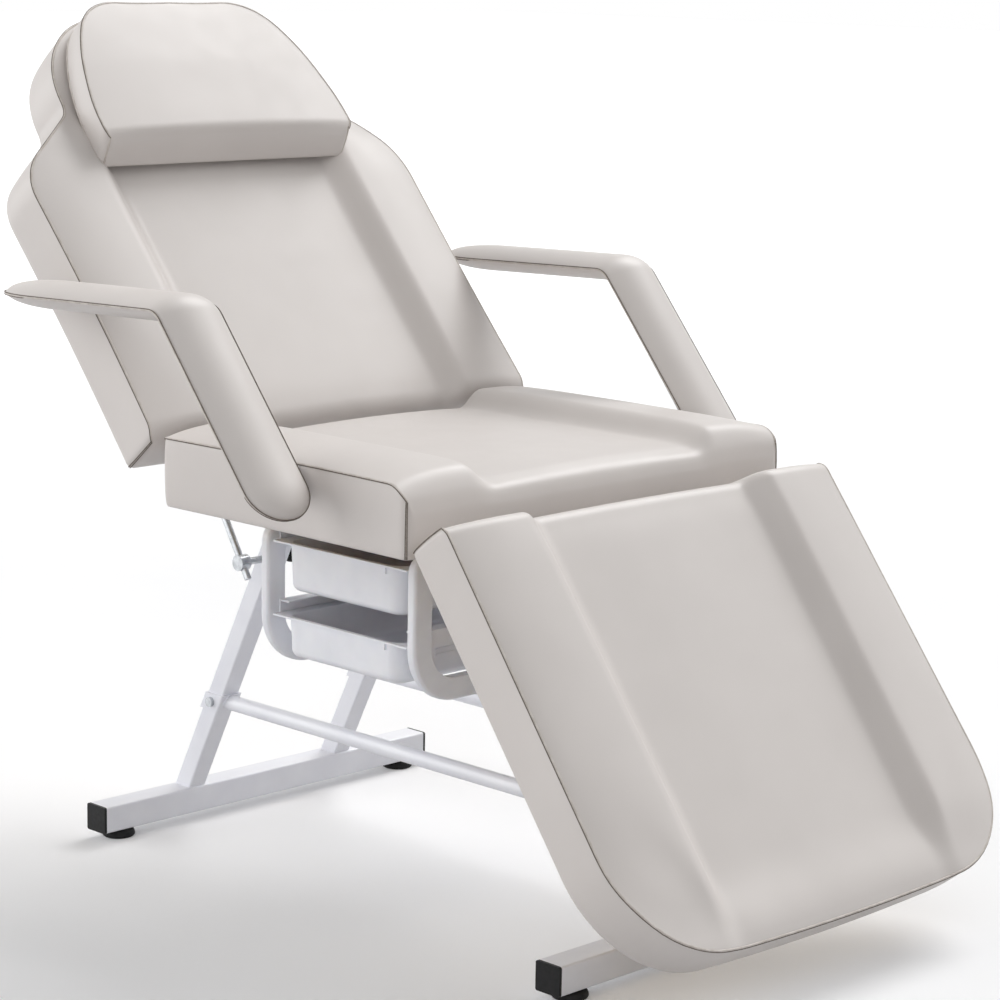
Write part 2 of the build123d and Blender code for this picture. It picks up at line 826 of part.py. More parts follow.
def make_section_frames():
    low = -frame_tube_low
    inner = rail_inner_x
    for side, name in ((-1, "right"), (1, "left")):
        keep("backrest_rail_" + name, tube_along_y(
            frame_tube, frame_tube_low, side * cushion_rail_x, cushion_rail_start,
            cushion_rail_start + backrest_rail_length, low), backrest_plane)
        keep("legrest_rail_" + name, tube_along_y(
            frame_tube, frame_tube_low, -side * cushion_rail_x, cushion_rail_start,
            cushion_rail_start + legrest_rail_length, low), legrest_plane)
    keep("backrest_crossbars", [
        tube_along_x(frame_tube, frame_tube_low, -inner, inner, y, low)
        for y in (backrest_bar_low, backrest_bar_high)], backrest_plane)
    keep("legrest_crossbars", [
        tube_along_x(frame_tube, frame_tube_low, -inner, inner, y, low)
        for y in (legrest_pin_y, legrest_bar_low)], legrest_plane)
    keep("backrest_hinge_plates", both_sides(backrest_hinge_plate()), backrest_plane)
    keep("legrest_hinge_plates", both_sides(legrest_hinge_plate()), legrest_plane)
    keep("backrest_stay_pins", both_sides(stay_pin()), backrest_plane)
    keep("legrest_stay_lugs", both_sides(legrest_lug()), legrest_plane)


# Stays
def stay_rod(pin, eye, length, x):
    """Rod with a flat ring at its pin, straight through the eye."""
    run = unit(bearing(pin, eye))
    plane = Plane(origin=(x, pin[0], pin[1]), x_dir=(1, 0, 0), z_dir=(0, run[0], run[1]))
    rod = extrude(plane * Circle(stay_radius), length)
    ring = rod_x(stay_end_radius, x - stay_end_width / 2, x + stay_end_width / 2, pin[0], pin[1])
    hole = rod_x(stay_pin_radius + running_clearance, x - stay_end_width, x + stay_end_width, *pin)
    band = rod_x(stay_end_radius + stay_radius, x - stay_end_width, x + stay_end_width, pin[0], pin[1])
    flat = rod & span(
        x - stay_end_width / 2, x + stay_end_width / 2, pin[0] - length, pin[0] + length,
        pin[1] - length, pin[1] + length)
    return (rod - band) + flat + ring - hole


def eye_body(x_low, x_high, eye, pin):
    body = rod_x(eye_radius, x_low, x_high, eye[0], eye[1])
    run = unit(bearing(pin, eye))
    plane = Plane(origin=((x_low + x_high) / 2, *eye), x_dir=(1, 0, 0), z_dir=(0, *run))
    bore = extrude(plane * Circle(stay_radius + running_clearance), eye_radius + overrun, both=True)
    return body - bore


def backrest_eye_bolt():
    """The eye stands outside the rear leg; its shank runs through the leg to the knob."""
    low = backrest_stay_x - eye_width / 2
    leg_inner = rail_x - leg_tube / 2
    body = eye_body(low, low + eye_width, backrest_eye, backrest_pin)
    shank = rod_x(eye_shank_radius, leg_inner - knob_neck, low, *backrest_eye)
    return body + shank


def legrest_eye_bolt():
    """The eye stands inside the front leg; its shank runs out through the leg to a head."""
    high = legrest_stay_x + eye_width / 2
    leg_outer = rail_x + leg_tube / 2
    low = legrest_stay_x - eye_width / 2
    body = eye_body(low, high, legrest_eye, legrest_pin)
    shank = rod_x(eye_shank_radius, high, leg_outer + seat_gap, *legrest_eye)
    shank = shank + rod_x(eye_shank_radius, low - knob_neck, low, *legrest_eye)
    head = rod_x(eye_bolt_head_radius, leg_outer + seat_gap,
                 leg_outer + seat_gap + eye_bolt_head, *legrest_eye)
    return body + shank + head


def knob(x_face, place, bore_radius):
    """Ball on a neck; the neck's end is at x_face and the ball lies towards x = 0."""
    centre = knob_neck + knob_radius
    neck_end = centre - sqrt(knob_radius ** 2 - knob_neck_radius ** 2)
    ball = ThreePointArc((neck_end, knob_neck_radius), (centre, knob_radius), (centre + knob_radius, 0))
    profile = face_of([
        Line((0, bore_radius), (0, knob_neck_radius)),
        Line((0, knob_neck_radius), (neck_end, knob_neck_radius)),
        ball,
        Line((centre + knob_radius, 0), (knob_neck + seat_gap, 0)),
        Polyline((knob_neck + seat_gap, 0), (knob_neck + seat_gap, bore_radius), (0, bore_radius)),
    ])
    plane = Plane(origin=(x_face, *place), x_dir=(-1, 0, 0), z_dir=(0, -1, 0))
    return revolve(plane * profile, Axis((x_face, *place), (1, 0, 0)))


def make_stays():
    keep("backrest_stay_rods", both_sides(stay_rod(
        backrest_pin, backrest_eye, backrest_rod_length, backrest_stay_x)))
    keep("legrest_stay_rods", both_sides(stay_rod(
        legrest_pin, legrest_eye, legrest_rod_length, legrest_stay_x)))
    keep("backrest_stay_eyes", both_sides(backrest_eye_bolt()))
    keep("legrest_stay_eyes", both_sides(legrest_eye_bolt()))
    bore = eye_shank_radius + running_clearance
    pieces = {
        "backrest_clamp_knob": knob(rail_x - leg_tube / 2 - seat_gap, backrest_eye, bore),
        "legrest_clamp_knob": knob(legrest_stay_x - eye_width / 2 - seat_gap, legrest_eye, bore),
    }
    for name, piece in pieces.items():
        keep(name + "_right", mirror(piece, about=Plane.YZ))
        keep(name + "_left", piece)


# Base
def slanted_tube(outer, wall, foot_y, top_y, low, high, solid=False):
    """A leg tube between two heights, cut level at both ends."""
    start = leg_y(low, foot_y, top_y)
    end = leg_y(high, foot_y, top_y)
    run = unit(bearing((start, low), (end, high)))
    slack = 2 * outer
    plane = Plane(origin=(rail_x, start - slack * run[0], low - slack * run[1]),
                  x_dir=(1, 0, 0), z_dir=(0, run[0], run[1]))
    section = RectangleRounded(outer, outer, tube_corner)
    if not solid:
        section = tube_section(outer, outer, wall)
    bar = extrude(plane * section, (high - low) / run[1] + 2 * slack)
    reach = abs(end - start) + 2 * outer
    front, rear = min(start, end) - reach, max(start, end) + reach
    return bar & span(rail_x - outer, rail_x + outer, front, rear, low, high)


def leg_set(foot_y, top_y, hole_place):
    lower = slanted_tube(leg_tube, tube_wall, foot_y, top_y, leg_base, joint_height)
    upper = slanted_tube(leg_tube, tube_wall, foot_y, top_y, joint_height, frame_bottom)
    bore = eye_shank_radius + running_clearance
    upper = upper - rod_x(bore, rail_x - leg_tube, rail_x + leg_tube, *hole_place)
    low = joint_height - collar_height / 2
    high = joint_height + collar_height / 2
    collar = slanted_tube(leg_tube + 2 * collar_wall, collar_wall, foot_y, top_y, low, high, solid=True)
    block = slanted_tube(leg_tube, tube_wall, foot_y, top_y, low - overrun, high + overrun, solid=True)
    return lower, upper, collar - block


def leg_bolt(foot_y, top_y):
    y = leg_y(joint_height, foot_y, top_y)
    outer = rail_x + leg_tube / 2 + collar_wall
    return rod_x(leg_bolt_head_radius, outer, outer + leg_bolt_head, y, joint_height)


def side_bar():
    low = front_leg_y(joint_height)
    high = rear_leg_y(joint_height)
    plane = Plane(origin=(rail_x, low, joint_height), x_dir=(1, 0, 0), z_dir=(0, 1, 0))
    section = Circle(side_bar_radius) - Circle(side_bar_radius - tube_wall)
    bar = extrude(plane * section, high - low)
    size = leg_tube + 2 * collar_wall
    below = joint_height - 2 * side_bar_radius
    above = joint_height + 2 * side_bar_radius
    for foot_y, top_y in ((front_foot_y, front_leg_top_y), (rear_foot_y, rear_leg_top_y)):
        bar = bar - slanted_tube(size, collar_wall, foot_y, top_y, below, above, solid=True)
    return bar.solids().sort_by(SortBy.VOLUME)[-1]


foot_x = foot_bar_length / 2 - foot_inset


def foot_bar(y):
    half = foot_bar_length / 2 - cap_thickness
    bar = tube_along_x(foot_bar_depth, foot_bar_height, -half, half, y, foot_clearance)
    for x in (-foot_x, foot_x):
        hole = Cylinder(foot_stud_radius + running_clearance, foot_bar_height)
        bar = bar - Pos(x, y, foot_clearance) * hole
    return bar


def end_cap(y):
    """Plastic cap over the bar's end with a plug inside the tube."""
    end = foot_bar_length / 2
    middle = foot_clearance + foot_bar_height / 2
    outer_face = Plane(origin=(end, y, middle), x_dir=(0, 1, 0), z_dir=(1, 0, 0))
    plate = RectangleRounded(foot_bar_depth, foot_bar_height, tube_corner)
    inner_face = Plane(origin=(end - cap_thickness, y, middle), x_dir=(0, 1, 0), z_dir=(1, 0, 0))
    deep = foot_bar_depth - 2 * tube_wall
    high = foot_bar_height - 2 * tube_wall
    plug = RectangleRounded(deep, high, tube_corner - tube_wall)
    plug = plug - Rectangle(deep - 2 * cap_wall, high - 2 * cap_wall)
    return extrude(outer_face * plate, -cap_thickness) + extrude(inner_face * plug, -cap_plug)


def levelling_foot(x, y):
    """Low domed pad on a threaded stud."""
    stud_top = foot_pad_height + foot_stud_length
    profile = face_of([
        Line((0, 0), (foot_pad_sole, 0)),
        *arc_chain((foot_pad_sole, 0), 0, [(foot_pad_radius, foot_pad_rim)]),
        *arc_chain((foot_pad_radius, foot_pad_rim), 90, [(foot_neck_radius, foot_pad_height)]),
        Polyline((foot_neck_radius, foot_pad_height), (foot_stud_radius, foot_pad_height),
                 (foot_stud_radius, stud_top), (0, stud_top), (0, 0)),
    ])
    upright = Plane(origin=(0, 0, 0), x_dir=(1, 0, 0), z_dir=(0, -1, 0))
    return Pos(x, y, 0) * revolve(upright * profile, Axis.Z)


def make_base():
    rear = leg_set(rear_foot_y, rear_leg_top_y, backrest_eye)
    front = leg_set(front_foot_y, front_leg_top_y, legrest_eye)
    for name, pieces in (("rear", rear), ("front", front)):
        keep(name + "_lower_legs", both_sides(pieces[0]))
        keep(name + "_upper_legs", both_sides(pieces[1]))
    keep("leg_collars", both_sides(rear[2]) + both_sides(front[2]))
    keep("leg_bolts", both_sides(leg_bolt(rear_foot_y, rear_leg_top_y))
         + both_sides(leg_bolt(front_foot_y, front_leg_top_y)))
    bar = side_bar()
    keep("side_bar_right", mirror(bar, about=Plane.YZ))
    keep("side_bar_left", bar)
    caps = []
    for y, name in ((rear_foot_y, "rear"), (front_foot_y, "front")):
        keep(name + "_foot_bar", foot_bar(y))
        caps += both_sides(end_cap(y))
        for side, hand in ((-1, "right"), (1, "left")):
            keep("levelling_foot_" + name + "_" + hand, levelling_foot(side * foot_x, y))
    keep("bar_end_caps", caps)


# Trays
def ring(y_low):
    """Moulded hanger, a rounded rectangle with larger lower corners."""
    top = frame_bottom
    middle = (ring_bottom + top) / 2
    plane = Plane(origin=(0, y_low + ring_depth, middle), x_dir=(1, 0, 0), z_dir=(0, -1, 0))

    def loop(wide, high, low_corner, top_corner):
        outline = Rectangle(wide, high)
        lower = outline.vertices().sort_by(Axis.Y)[:2]
        outline = fillet(lower, low_corner)
        upper = outline.vertices().sort_by(Axis.Y)[-2:]
        return fillet(upper, top_corner)

    high = top - ring_bottom
    outer = loop(ring_width, high, ring_corner, ring_corner_top)
    inner = loop(ring_width - 2 * ring_bar, high - 2 * ring_bar, ring_hole_corner, ring_hole_corner_top)
    block = extrude(plane * outer, ring_depth)
    around = block.edges().filter_by(Axis.Y, reverse=True)
    block = fillet([edge for edge in around if edge.center().Z < top - ring_edge], ring_edge)
    return block - extrude(plane * inner, ring_depth)


def c_rail(y_wall, facing, z_low):
    """C channel on a ring's inner face; facing is +1 where it opens towards +Y."""
    outer = Pos(rail_depth / 2, rail_height / 2) * Rectangle(rail_depth, rail_height)
    cut_depth = rail_depth - rail_wall + overrun
    inner = Rectangle(cut_depth, rail_height - 2 * rail_wall)
    section = outer - Pos(rail_wall + cut_depth / 2, rail_height / 2) * inner
    start = (-facing * rail_length / 2, y_wall, z_low)
    plane = Plane(origin=start, x_dir=(0, facing, 0), z_dir=(facing, 0, 0))
    return extrude(plane * section, rail_length)


tray_front = ring_front_y + ring_depth + rail_depth + tray_side_gap
tray_rear = ring_rear_y - ring_depth - rail_depth - tray_side_gap


def tray_shell(top, depth):
    """Open bin with drafted walls and a round lower edge."""
    half_length = tray_length / 2 - tray_lip
    middle = (tray_front + tray_rear) / 2

    def block(inset):
        mouth = RectangleRounded(
            2 * (half_length - inset), tray_rear - tray_front - 2 * inset, tray_corner - inset)
        body = extrude(Pos(0, middle, top) * mouth, inset - depth, taper=tray_draft)
        return fillet(body.faces().sort_by(Axis.Z)[0].edges(), tray_corner / 2 - inset)

    return block(0) - block(tray_wall)


def tray_flange(top):
    """Flat rim: its long sides run in the rails, its ends are a short lip."""
    reach = rail_depth - rail_wall + tray_side_gap - tray_flange_gap
    half = tray_length / 2
    low = top - tray_wall
    flange = span(-half, half, tray_front - reach, tray_rear + reach, low, top)
    mouth = RectangleRounded(
        2 * (half - tray_lip - tray_wall), tray_rear - tray_front - 2 * tray_wall,
        tray_corner - tray_wall)
    opening = extrude(mouth, tray_wall + 2 * overrun)
    return flange - Pos(0, (tray_front + tray_rear) / 2, low - overrun) * opening


def tray_ribs(top):
    """Grip ribs along the upper part of each long wall."""
    half = tray_length / 2 - tray_rib_inset
    ribs = []
    for count in range(tray_rib_count):
        middle = top - tray_rib_first - count * tray_rib_spacing
        low, high = middle - tray_rib_height / 2, middle + tray_rib_height / 2
        drawn_in = (top - middle) * tan(radians(tray_draft))
        for wall, out in ((tray_front + drawn_in, -1), (tray_rear - drawn_in, 1)):
            faces = sorted((wall + out * tray_rib_proud, wall - out * tray_wall / 2))
            ribs.append(span(-half, half, *faces, low, high))
    return ribs


def tray_tabs(top):
    """A small stop under the lip at each end, near the front."""
    outer = tray_length / 2 - tray_lip
    y = tray_front + tray_tab_inset
    high = top - tray_wall
    half = tray_tab_width / 2
    tab = span(outer - tray_wall, outer + tray_tab_thickness, y - half, y + half,
               high - tray_tab_height, high)
    return both_sides(tab)


def tray(z_rail, depth):
    """A tray hung by its flange in two rails."""
    top = z_rail + rail_wall + seat_gap + tray_wall
    body = tray_shell(top, depth) + tray_flange(top)
    for piece in tray_ribs(top) + tray_tabs(top):
        body = body + piece
    return body


def make_trays():
    keep("front_tray_ring", ring(ring_front_y))
    keep("rear_tray_ring", ring(ring_rear_y - ring_depth))
    rails = []
    for z_low in (upper_rail_height, lower_rail_height):
        rails.append(c_rail(ring_front_y + ring_depth, 1, z_low))
        rails.append(c_rail(ring_rear_y - ring_depth, -1, z_low))
    keep("tray_rails", rails)
    keep("upper_tray", tray(upper_rail_height, upper_tray_depth))
    keep("lower_tray", tray(lower_rail_height, lower_tray_depth))


make_cushions()
make_armrests()
make_seat_frame()
make_hinges()
make_section_frames()
make_stays()
make_base()
make_trays()

# Centre the whole chair over the origin, front to back
everything = [piece for pieces in nodes.values() for piece in pieces]
front_most = min(piece.bounding_box().min.Y for piece in everything)
rear_most = max(piece.bounding_box().max.Y for piece in everything)
shift_y = -(front_most + rear_most) / 2

for name, pieces in nodes.items():
    solids = [Pos(0, shift_y, 0) * solid for piece in pieces for solid in piece.solids()]
    export_step(solids[0] if len(solids) == 1 else Compound(solids), "parts/" + name + ".step")
print("nodes", len(nodes), "shift", round(shift_y, 3))
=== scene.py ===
import json
import math
import bpy
import numpy as np
from mathutils import Matrix, Vector


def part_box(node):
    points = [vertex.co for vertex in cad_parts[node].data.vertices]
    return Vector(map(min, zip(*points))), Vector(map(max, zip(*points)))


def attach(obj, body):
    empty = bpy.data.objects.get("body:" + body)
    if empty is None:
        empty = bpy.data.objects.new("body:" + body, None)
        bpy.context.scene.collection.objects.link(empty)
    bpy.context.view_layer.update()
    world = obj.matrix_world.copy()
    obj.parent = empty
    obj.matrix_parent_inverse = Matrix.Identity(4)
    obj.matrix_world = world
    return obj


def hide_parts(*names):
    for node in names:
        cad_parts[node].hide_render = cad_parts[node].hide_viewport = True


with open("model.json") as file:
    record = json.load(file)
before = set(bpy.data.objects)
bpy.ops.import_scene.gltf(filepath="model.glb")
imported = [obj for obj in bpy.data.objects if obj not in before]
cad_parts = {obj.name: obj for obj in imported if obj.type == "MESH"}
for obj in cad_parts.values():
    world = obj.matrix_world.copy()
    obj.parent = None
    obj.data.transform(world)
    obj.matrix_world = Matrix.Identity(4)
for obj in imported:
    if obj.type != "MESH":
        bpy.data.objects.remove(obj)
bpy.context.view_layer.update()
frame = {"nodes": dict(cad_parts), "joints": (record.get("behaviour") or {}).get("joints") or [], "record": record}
nodes = frame["nodes"]

# A reclining treatment chair: three padded sections on a white tube base with two trays.
# Everything is in metres, in the frame's own axes: legrest towards -Y, sitter's right at -X.
MM = 0.001

# Each padded section has its own frame: x across, y along it from the seat, z up from its
# underside. The hinges and the seat give its place, the tilts its direction.
SEAT_THICK = 93 * MM
BACKREST_TILT = math.radians(49.3)
BACKREST_THICK = 79 * MM
BACKREST_PIVOT_OUT = 14 * MM
BACKREST_PIVOT_DEEP = 30 * MM
LEGREST_TILT = math.radians(52.7)
LEGREST_THICK = 70 * MM
LEGREST_BEFORE_SEAT = 16 * MM
LEGREST_ABOVE_SEAT = 16 * MM


def joint(name):
    return next(j for j in frame["joints"] if j["name"] == name)


def section_frame(origin, along, up):
    across = along.cross(up)
    return Matrix.Translation(origin) @ Matrix((across, along, up)).transposed().to_4x4()


seat_low, seat_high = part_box("seat_cushion")
SEAT_HALF = (seat_high.x - seat_low.x) / 2
SEAT_DEPTH = seat_high.y - seat_low.y
seat_origin = Vector((0, seat_low.y, seat_low.z))
seat_frame = section_frame(seat_origin, Vector((0, 1, 0)), Vector((0, 0, 1)))

back_along = Vector((0, math.cos(BACKREST_TILT), math.sin(BACKREST_TILT)))
back_up = Vector((0, -math.sin(BACKREST_TILT), math.cos(BACKREST_TILT)))
back_pivot = Vector(joint("backrest_recline")["pos_m"])
back_origin = (back_pivot + BACKREST_PIVOT_OUT * back_along
               - (BACKREST_THICK - BACKREST_PIVOT_DEEP) * back_up)
back_frame = section_frame(back_origin, back_along, back_up)

leg_along = Vector((0, -math.cos(LEGREST_TILT), -math.sin(LEGREST_TILT)))
leg_up = Vector((0, -math.sin(LEGREST_TILT), math.cos(LEGREST_TILT)))
leg_origin = Vector((0, seat_low.y - LEGREST_BEFORE_SEAT, seat_low.z + LEGREST_ABOVE_SEAT))
leg_frame = section_frame(leg_origin, leg_along, leg_up)


# Finishes
# Noise seldom leaves this range, so a colour or a roughness runs from its low end to its high end
NOISE_LOW = 0.3
NOISE_HIGH = 0.7
# What draws each pattern: the texture node, the output that is its height, inputs and settings
PATTERNS = {
    "patches": ("ShaderNodeTexNoise", "Fac", {}, {}),
    "streaks": ("ShaderNodeTexNoise", "Fac", {"Distortion": 0.4}, {}),
    "pebble": ("ShaderNodeTexVoronoi", "Distance", {}, {"feature": "SMOOTH_F1"}),
    "twist": ("ShaderNodeTexWave", "Fac", {}, {}),
}


def linear(code):
    """A colour written as sRGB hex, turned to linear."""
    parts = [int(code[i:i + 2], 16) / 255 for i in (1, 3, 5)]
    return [c / 12.92 if c <= 0.04045 else ((c + 0.055) / 1.055) ** 2.4 for c in parts] + [1]


def add(tree, kind, inputs=None, **settings):
    """Adds a node; inputs gives each socket a value, or the output that it is linked to."""
    made = tree.nodes.new(kind)
    for name, value in settings.items():
        setattr(made, name, value)
    for socket, value in (inputs or {}).items():
        if isinstance(value, bpy.types.NodeSocket):
            tree.links.new(value, made.inputs[socket])
        else:
            made.inputs[socket].default_value = value
    return made


def finish(name, constants, colours, tone, roughness=None, gloss=None, reliefs=(), stretch=None):
    """A new material with one Principled shader, its constants set on the shader itself.

    Its colour runs between two hex codes in the pattern tone, its roughness between two numbers
    in the pattern gloss. A pattern is its name, the size of its features in mm and its detail.
    A relief is a pattern with its depth in mm and its strength; each lies over the one before."""
    made = bpy.data.materials.new(name)
    made.use_nodes = True
    tree = made.node_tree
    tree.nodes.clear()
    shader = add(tree, "ShaderNodeBsdfPrincipled", constants)
    add(tree, "ShaderNodeOutputMaterial", {"Surface": shader.outputs["BSDF"]})
    place = add(tree, "ShaderNodeTexCoord").outputs["Object"]
    if stretch:
        wider = {"Vector": place, "Scale": stretch}
        place = add(tree, "ShaderNodeMapping", wider).outputs["Vector"]

    def height(pattern, size_mm, detail):
        kind, output, inputs, settings = PATTERNS[pattern]
        laid = {"Vector": place, "Scale": 1 / (size_mm * MM), "Detail": detail}
        return add(tree, kind, laid | inputs, **settings).outputs[output]

    shade = add(tree, "ShaderNodeValToRGB", {"Fac": height(*tone)})
    for stop, position, code in zip(shade.color_ramp.elements, (NOISE_LOW, NOISE_HIGH), colours):
        stop.position = position
        stop.color = linear(code)
    tree.links.new(shade.outputs["Color"], shader.inputs["Base Color"])
    if gloss:
        rough = add(tree, "ShaderNodeMapRange", {
            "Value": height(*gloss), "From Min": NOISE_LOW, "From Max": NOISE_HIGH,
            "To Min": roughness[0], "To Max": roughness[1]})
        tree.links.new(rough.outputs["Result"], shader.inputs["Roughness"])
    under = {}
    for *pattern, depth_mm, strength in reliefs:
        raised = {"Height": height(*pattern), "Distance": depth_mm * MM, "Strength": strength}
        relief = add(tree, "ShaderNodeBump", raised | under)
        under = {"Normal": relief.outputs["Normal"]}
    if under:
        tree.links.new(under["Normal"], shader.inputs["Normal"])
    return made


# Polyurethane embossed on a knit backing: satin, with a fine pebble grain and soft uneven tone.
# The real pebble is 0.4 mm; it is drawn at 1.1 mm so that it shows at all.
leather = finish(
    "polyurethane_leather",
    {"IOR": 1.5, "Specular IOR Level": 0.42, "Coat Weight": 0.06, "Coat Roughness": 0.3},
    ("#CFC9C5", "#D4CECA"), ("patches", 160, 2), (0.42, 0.48), ("patches", 35, 3),
    [("pebble", 1.1, 0, 0.05, 0.3), ("patches", 70, 1, 0.5, 0.4)])

# The same leather folded over the seam, drawn in patches a shade darker than the panels.
welt = finish(
    "welt_leather", {"IOR": 1.5, "Specular IOR Level": 0.45},
    ("#B9B0A8", "#D2CBC5"), ("patches", 12, 3), (0.42, 0.55), ("patches", 4, 2),
    [("patches", 1.5, 2, 0.08, 0.5)])

# A dark line of painted shade beside each seam, where the gap between two sewn panels lies in
# shadow; it is drawn as dull, twisted thread. A twist pattern repeats about three times in its
# size, so 4 mm gives the thread a turn every 1.3 mm.
# Dark seam line: painted shade of the stitched gap, drawn as thread
seam_shade_line = finish(
    "seam_gap_painted_shade", {"IOR": 1.5, "Specular IOR Level": 0.2},
    ("#665E57", "#7F766E"), ("patches", 3, 2), (0.7, 0.9), ("patches", 2, 2),
    [("twist", 4, 2, 0.2, 0.4)])

# White polyester powder baked on steel tube: cool white and satin, with a slight orange peel.
# The peel is about 1.5 mm across; it is drawn at 3 mm so that it shows.
coat = finish(
    "powder_coat",
    {"IOR": 1.5, "Specular IOR Level": 0.5, "Coat Weight": 0.15, "Coat Roughness": 0.18},
    ("#E9EAF1", "#F1F2F7"), ("patches", 70, 4), (0.3, 0.4), ("patches", 18, 3),
    [("patches", 3, 1, 0.06, 0.5)])

# Bright zinc on turned steel: pale grey metal with fine marks and a cloudy sheen.
zinc = finish(
    "zinc_plate", {"Metallic": 1.0},
    ("#A8ABAF", "#CDD0D3"), ("patches", 9, 4), (0.26, 0.42), ("patches", 3, 4),
    [("patches", 1.2, 3, 0.05, 0.5)])

# Injection-moulded white polypropylene: waxy, with a fine spark-eroded texture.
polypropylene = finish(
    "moulded_polypropylene",
    {"IOR": 1.49, "Specular IOR Level": 0.4, "Subsurface Weight": 0.05, "Subsurface Scale": 0.004},
    ("#E8E9EF", "#F0F1F5"), ("patches", 50, 3), (0.38, 0.5), ("patches", 14, 3),
    [("patches", 1.4, 2, 0.05, 0.5)])

# Black moulded nylon and black rubber: near black and finely textured, the rubber duller.
BLACK_SURFACE = {"IOR": 1.5, "Specular IOR Level": 0.25}
BLACK_TEXTURE = [("patches", 1.2, 3, 0.08, 0.5)]
black_nylon = finish(
    "black_nylon", BLACK_SURFACE,
    ("#0A0A0B", "#151517"), ("patches", 8, 4), (0.4, 0.55), ("patches", 5, 3), BLACK_TEXTURE)
black_rubber = finish(
    "black_rubber", BLACK_SURFACE,
    ("#101011", "#1A1A1B"), ("patches", 8, 4), (0.55, 0.75), ("patches", 5, 3), BLACK_TEXTURE)

# Unfinished poplar plywood: long pale grain lines in the face veneer, about 45 mm long and 14
# times as narrow.
plywood = finish(
    "poplar_plywood", {"IOR": 1.5, "Specular IOR Level": 0.25},
    ("#C4AC88", "#DCC8A8"), ("streaks", 45, 6), (0.6, 0.75), ("streaks", 45, 6),
    [("streaks", 45, 6, 0.2, 0.5)], stretch=(14.0, 1.0, 1.0))

SLOT_FINISH = {
    "vinyl": leather, "plywood": plywood, "white_steel": coat, "zinc": zinc,
    "white_plastic": polypropylene, "black_plastic": black_nylon, "black_rubber": black_rubber,
}


def dress_frame():
    """Every CAD node gets the finish of its slot."""
    for entry in frame["record"]["subparts"]:
        piece = nodes[entry["node"]]
        piece.data.materials.clear()
        piece.data.materials.append(SLOT_FINISH[entry["material_slot"]])


# Meshes
ARC_STEPS = 14
# An arc that turns by less than this, in radians, is drawn straight
STRAIGHT = 1e-6
# Two points of an outline nearer than this, in mm, are one point
SAME_PLACE = 1e-5
# A direction that no seam runs along
OBLIQUE = (0.3, 0.5, 0.8)


def new_piece(name, points, faces, material, body, place=None):
    """A smooth mesh piece that rides on a body; points are in the frame given as place."""
    mesh = bpy.data.meshes.new(name)
    mesh.from_pydata([tuple(float(c) for c in p) for p in points], [], faces)
    if place is not None:
        mesh.transform(place)
    mesh.validate()
    mesh.materials.append(material)
    for polygon in mesh.polygons:
        polygon.use_smooth = True
    piece = bpy.data.objects.new(name, mesh)
    bpy.context.scene.collection.objects.link(piece)
    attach(piece, body)
    return piece


def arc(start, heading, end, steps=ARC_STEPS):
    """Points of an arc that leaves start at a heading in degrees, and the heading at its end."""
    start, end = np.array(start, float), np.array(end, float)
    chord = end - start
    turn = math.atan2(chord[1], chord[0]) - math.radians(heading)
    turn = (turn + math.pi) % (2 * math.pi) - math.pi
    if abs(turn) < STRAIGHT:
        return [start + chord * k / steps for k in range(1, steps + 1)], heading
    radius = math.hypot(*chord) / (2 * math.sin(turn))
    first = math.radians(heading)
    centre = start + radius * np.array([-math.sin(first), math.cos(first)])
    points = []
    for k in range(1, steps + 1):
        angle = first + 2 * turn * k / steps
        points.append(centre + radius * np.array([math.sin(angle), -math.cos(angle)]))
    return points, heading + math.degrees(2 * turn)


def run_arcs(start, heading, points):
    """Arcs that run on from one another, start included."""
    line = [np.array(start, float)]
    for point in points:
        piece, heading = arc(line[-1], heading, point)
        line += piece
    return line


def spaced(points, count, ease):
    """The polyline resampled to count + 1 points; ease crowds them towards both ends."""
    points = np.array(points, float)
    run = np.concatenate([[0], np.cumsum(np.linalg.norm(np.diff(points, axis=0), axis=1))])
    t = np.linspace(0, 1, count + 1)
    t = (1 - ease) * t + ease * (1 - np.cos(np.pi * t)) / 2
    return np.stack([np.interp(t * run[-1], run, line) for line in points.T], axis=1)


def patch(low, high, left, right):
    """Grid of points between four boundary lines, as rows from low to high."""
    v = np.linspace(0, 1, len(left))[:, None, None]
    u = np.linspace(0, 1, len(low))[None, :, None]
    ruled = (1 - v) * low[None] + v * high[None] + (1 - u) * left[:, None] + u * right[:, None]
    corners = ((1 - u) * (1 - v) * low[0] + u * (1 - v) * low[-1]
               + (1 - u) * v * high[0] + u * v * high[-1])
    return ruled - corners


def rim_of(rows, columns):
    """Indices of a grid's boundary, once round, counter-clockwise from the low left corner."""
    grid = np.arange(rows * columns).reshape(rows, columns)
    sides = (grid[0, :-1], grid[:-1, -1], grid[-1, :0:-1], grid[:0:-1, 0])
    return [index for side in sides for index in side]


def smooth(t):
    """Rises from 0 to 1 with a soft start and a soft end."""
    t = np.clip(t, 0, 1)
    return t * t * t * (t * (6 * t - 15) + 10)


def in_metres(line):
    return [(x * MM, y * MM) for x, y in line]


def mirror_outline(right):
    """Closed outline from its right half, which runs from the low end to the high end."""
    full = [tuple(p) for p in right] + [(-x, y) for x, y in reversed(right)]
    cleaned = [full[0]]
    for p in full[1:]:
        if math.dist(p, cleaned[-1]) > SAME_PLACE:
            cleaned.append(p)
    if math.dist(cleaned[0], cleaned[-1]) < SAME_PLACE:
        cleaned.pop()
    return cleaned


def nearest(points, x, y):
    return int(np.argmin([(p[0] - x) ** 2 + (p[1] - y) ** 2 for p in points]))


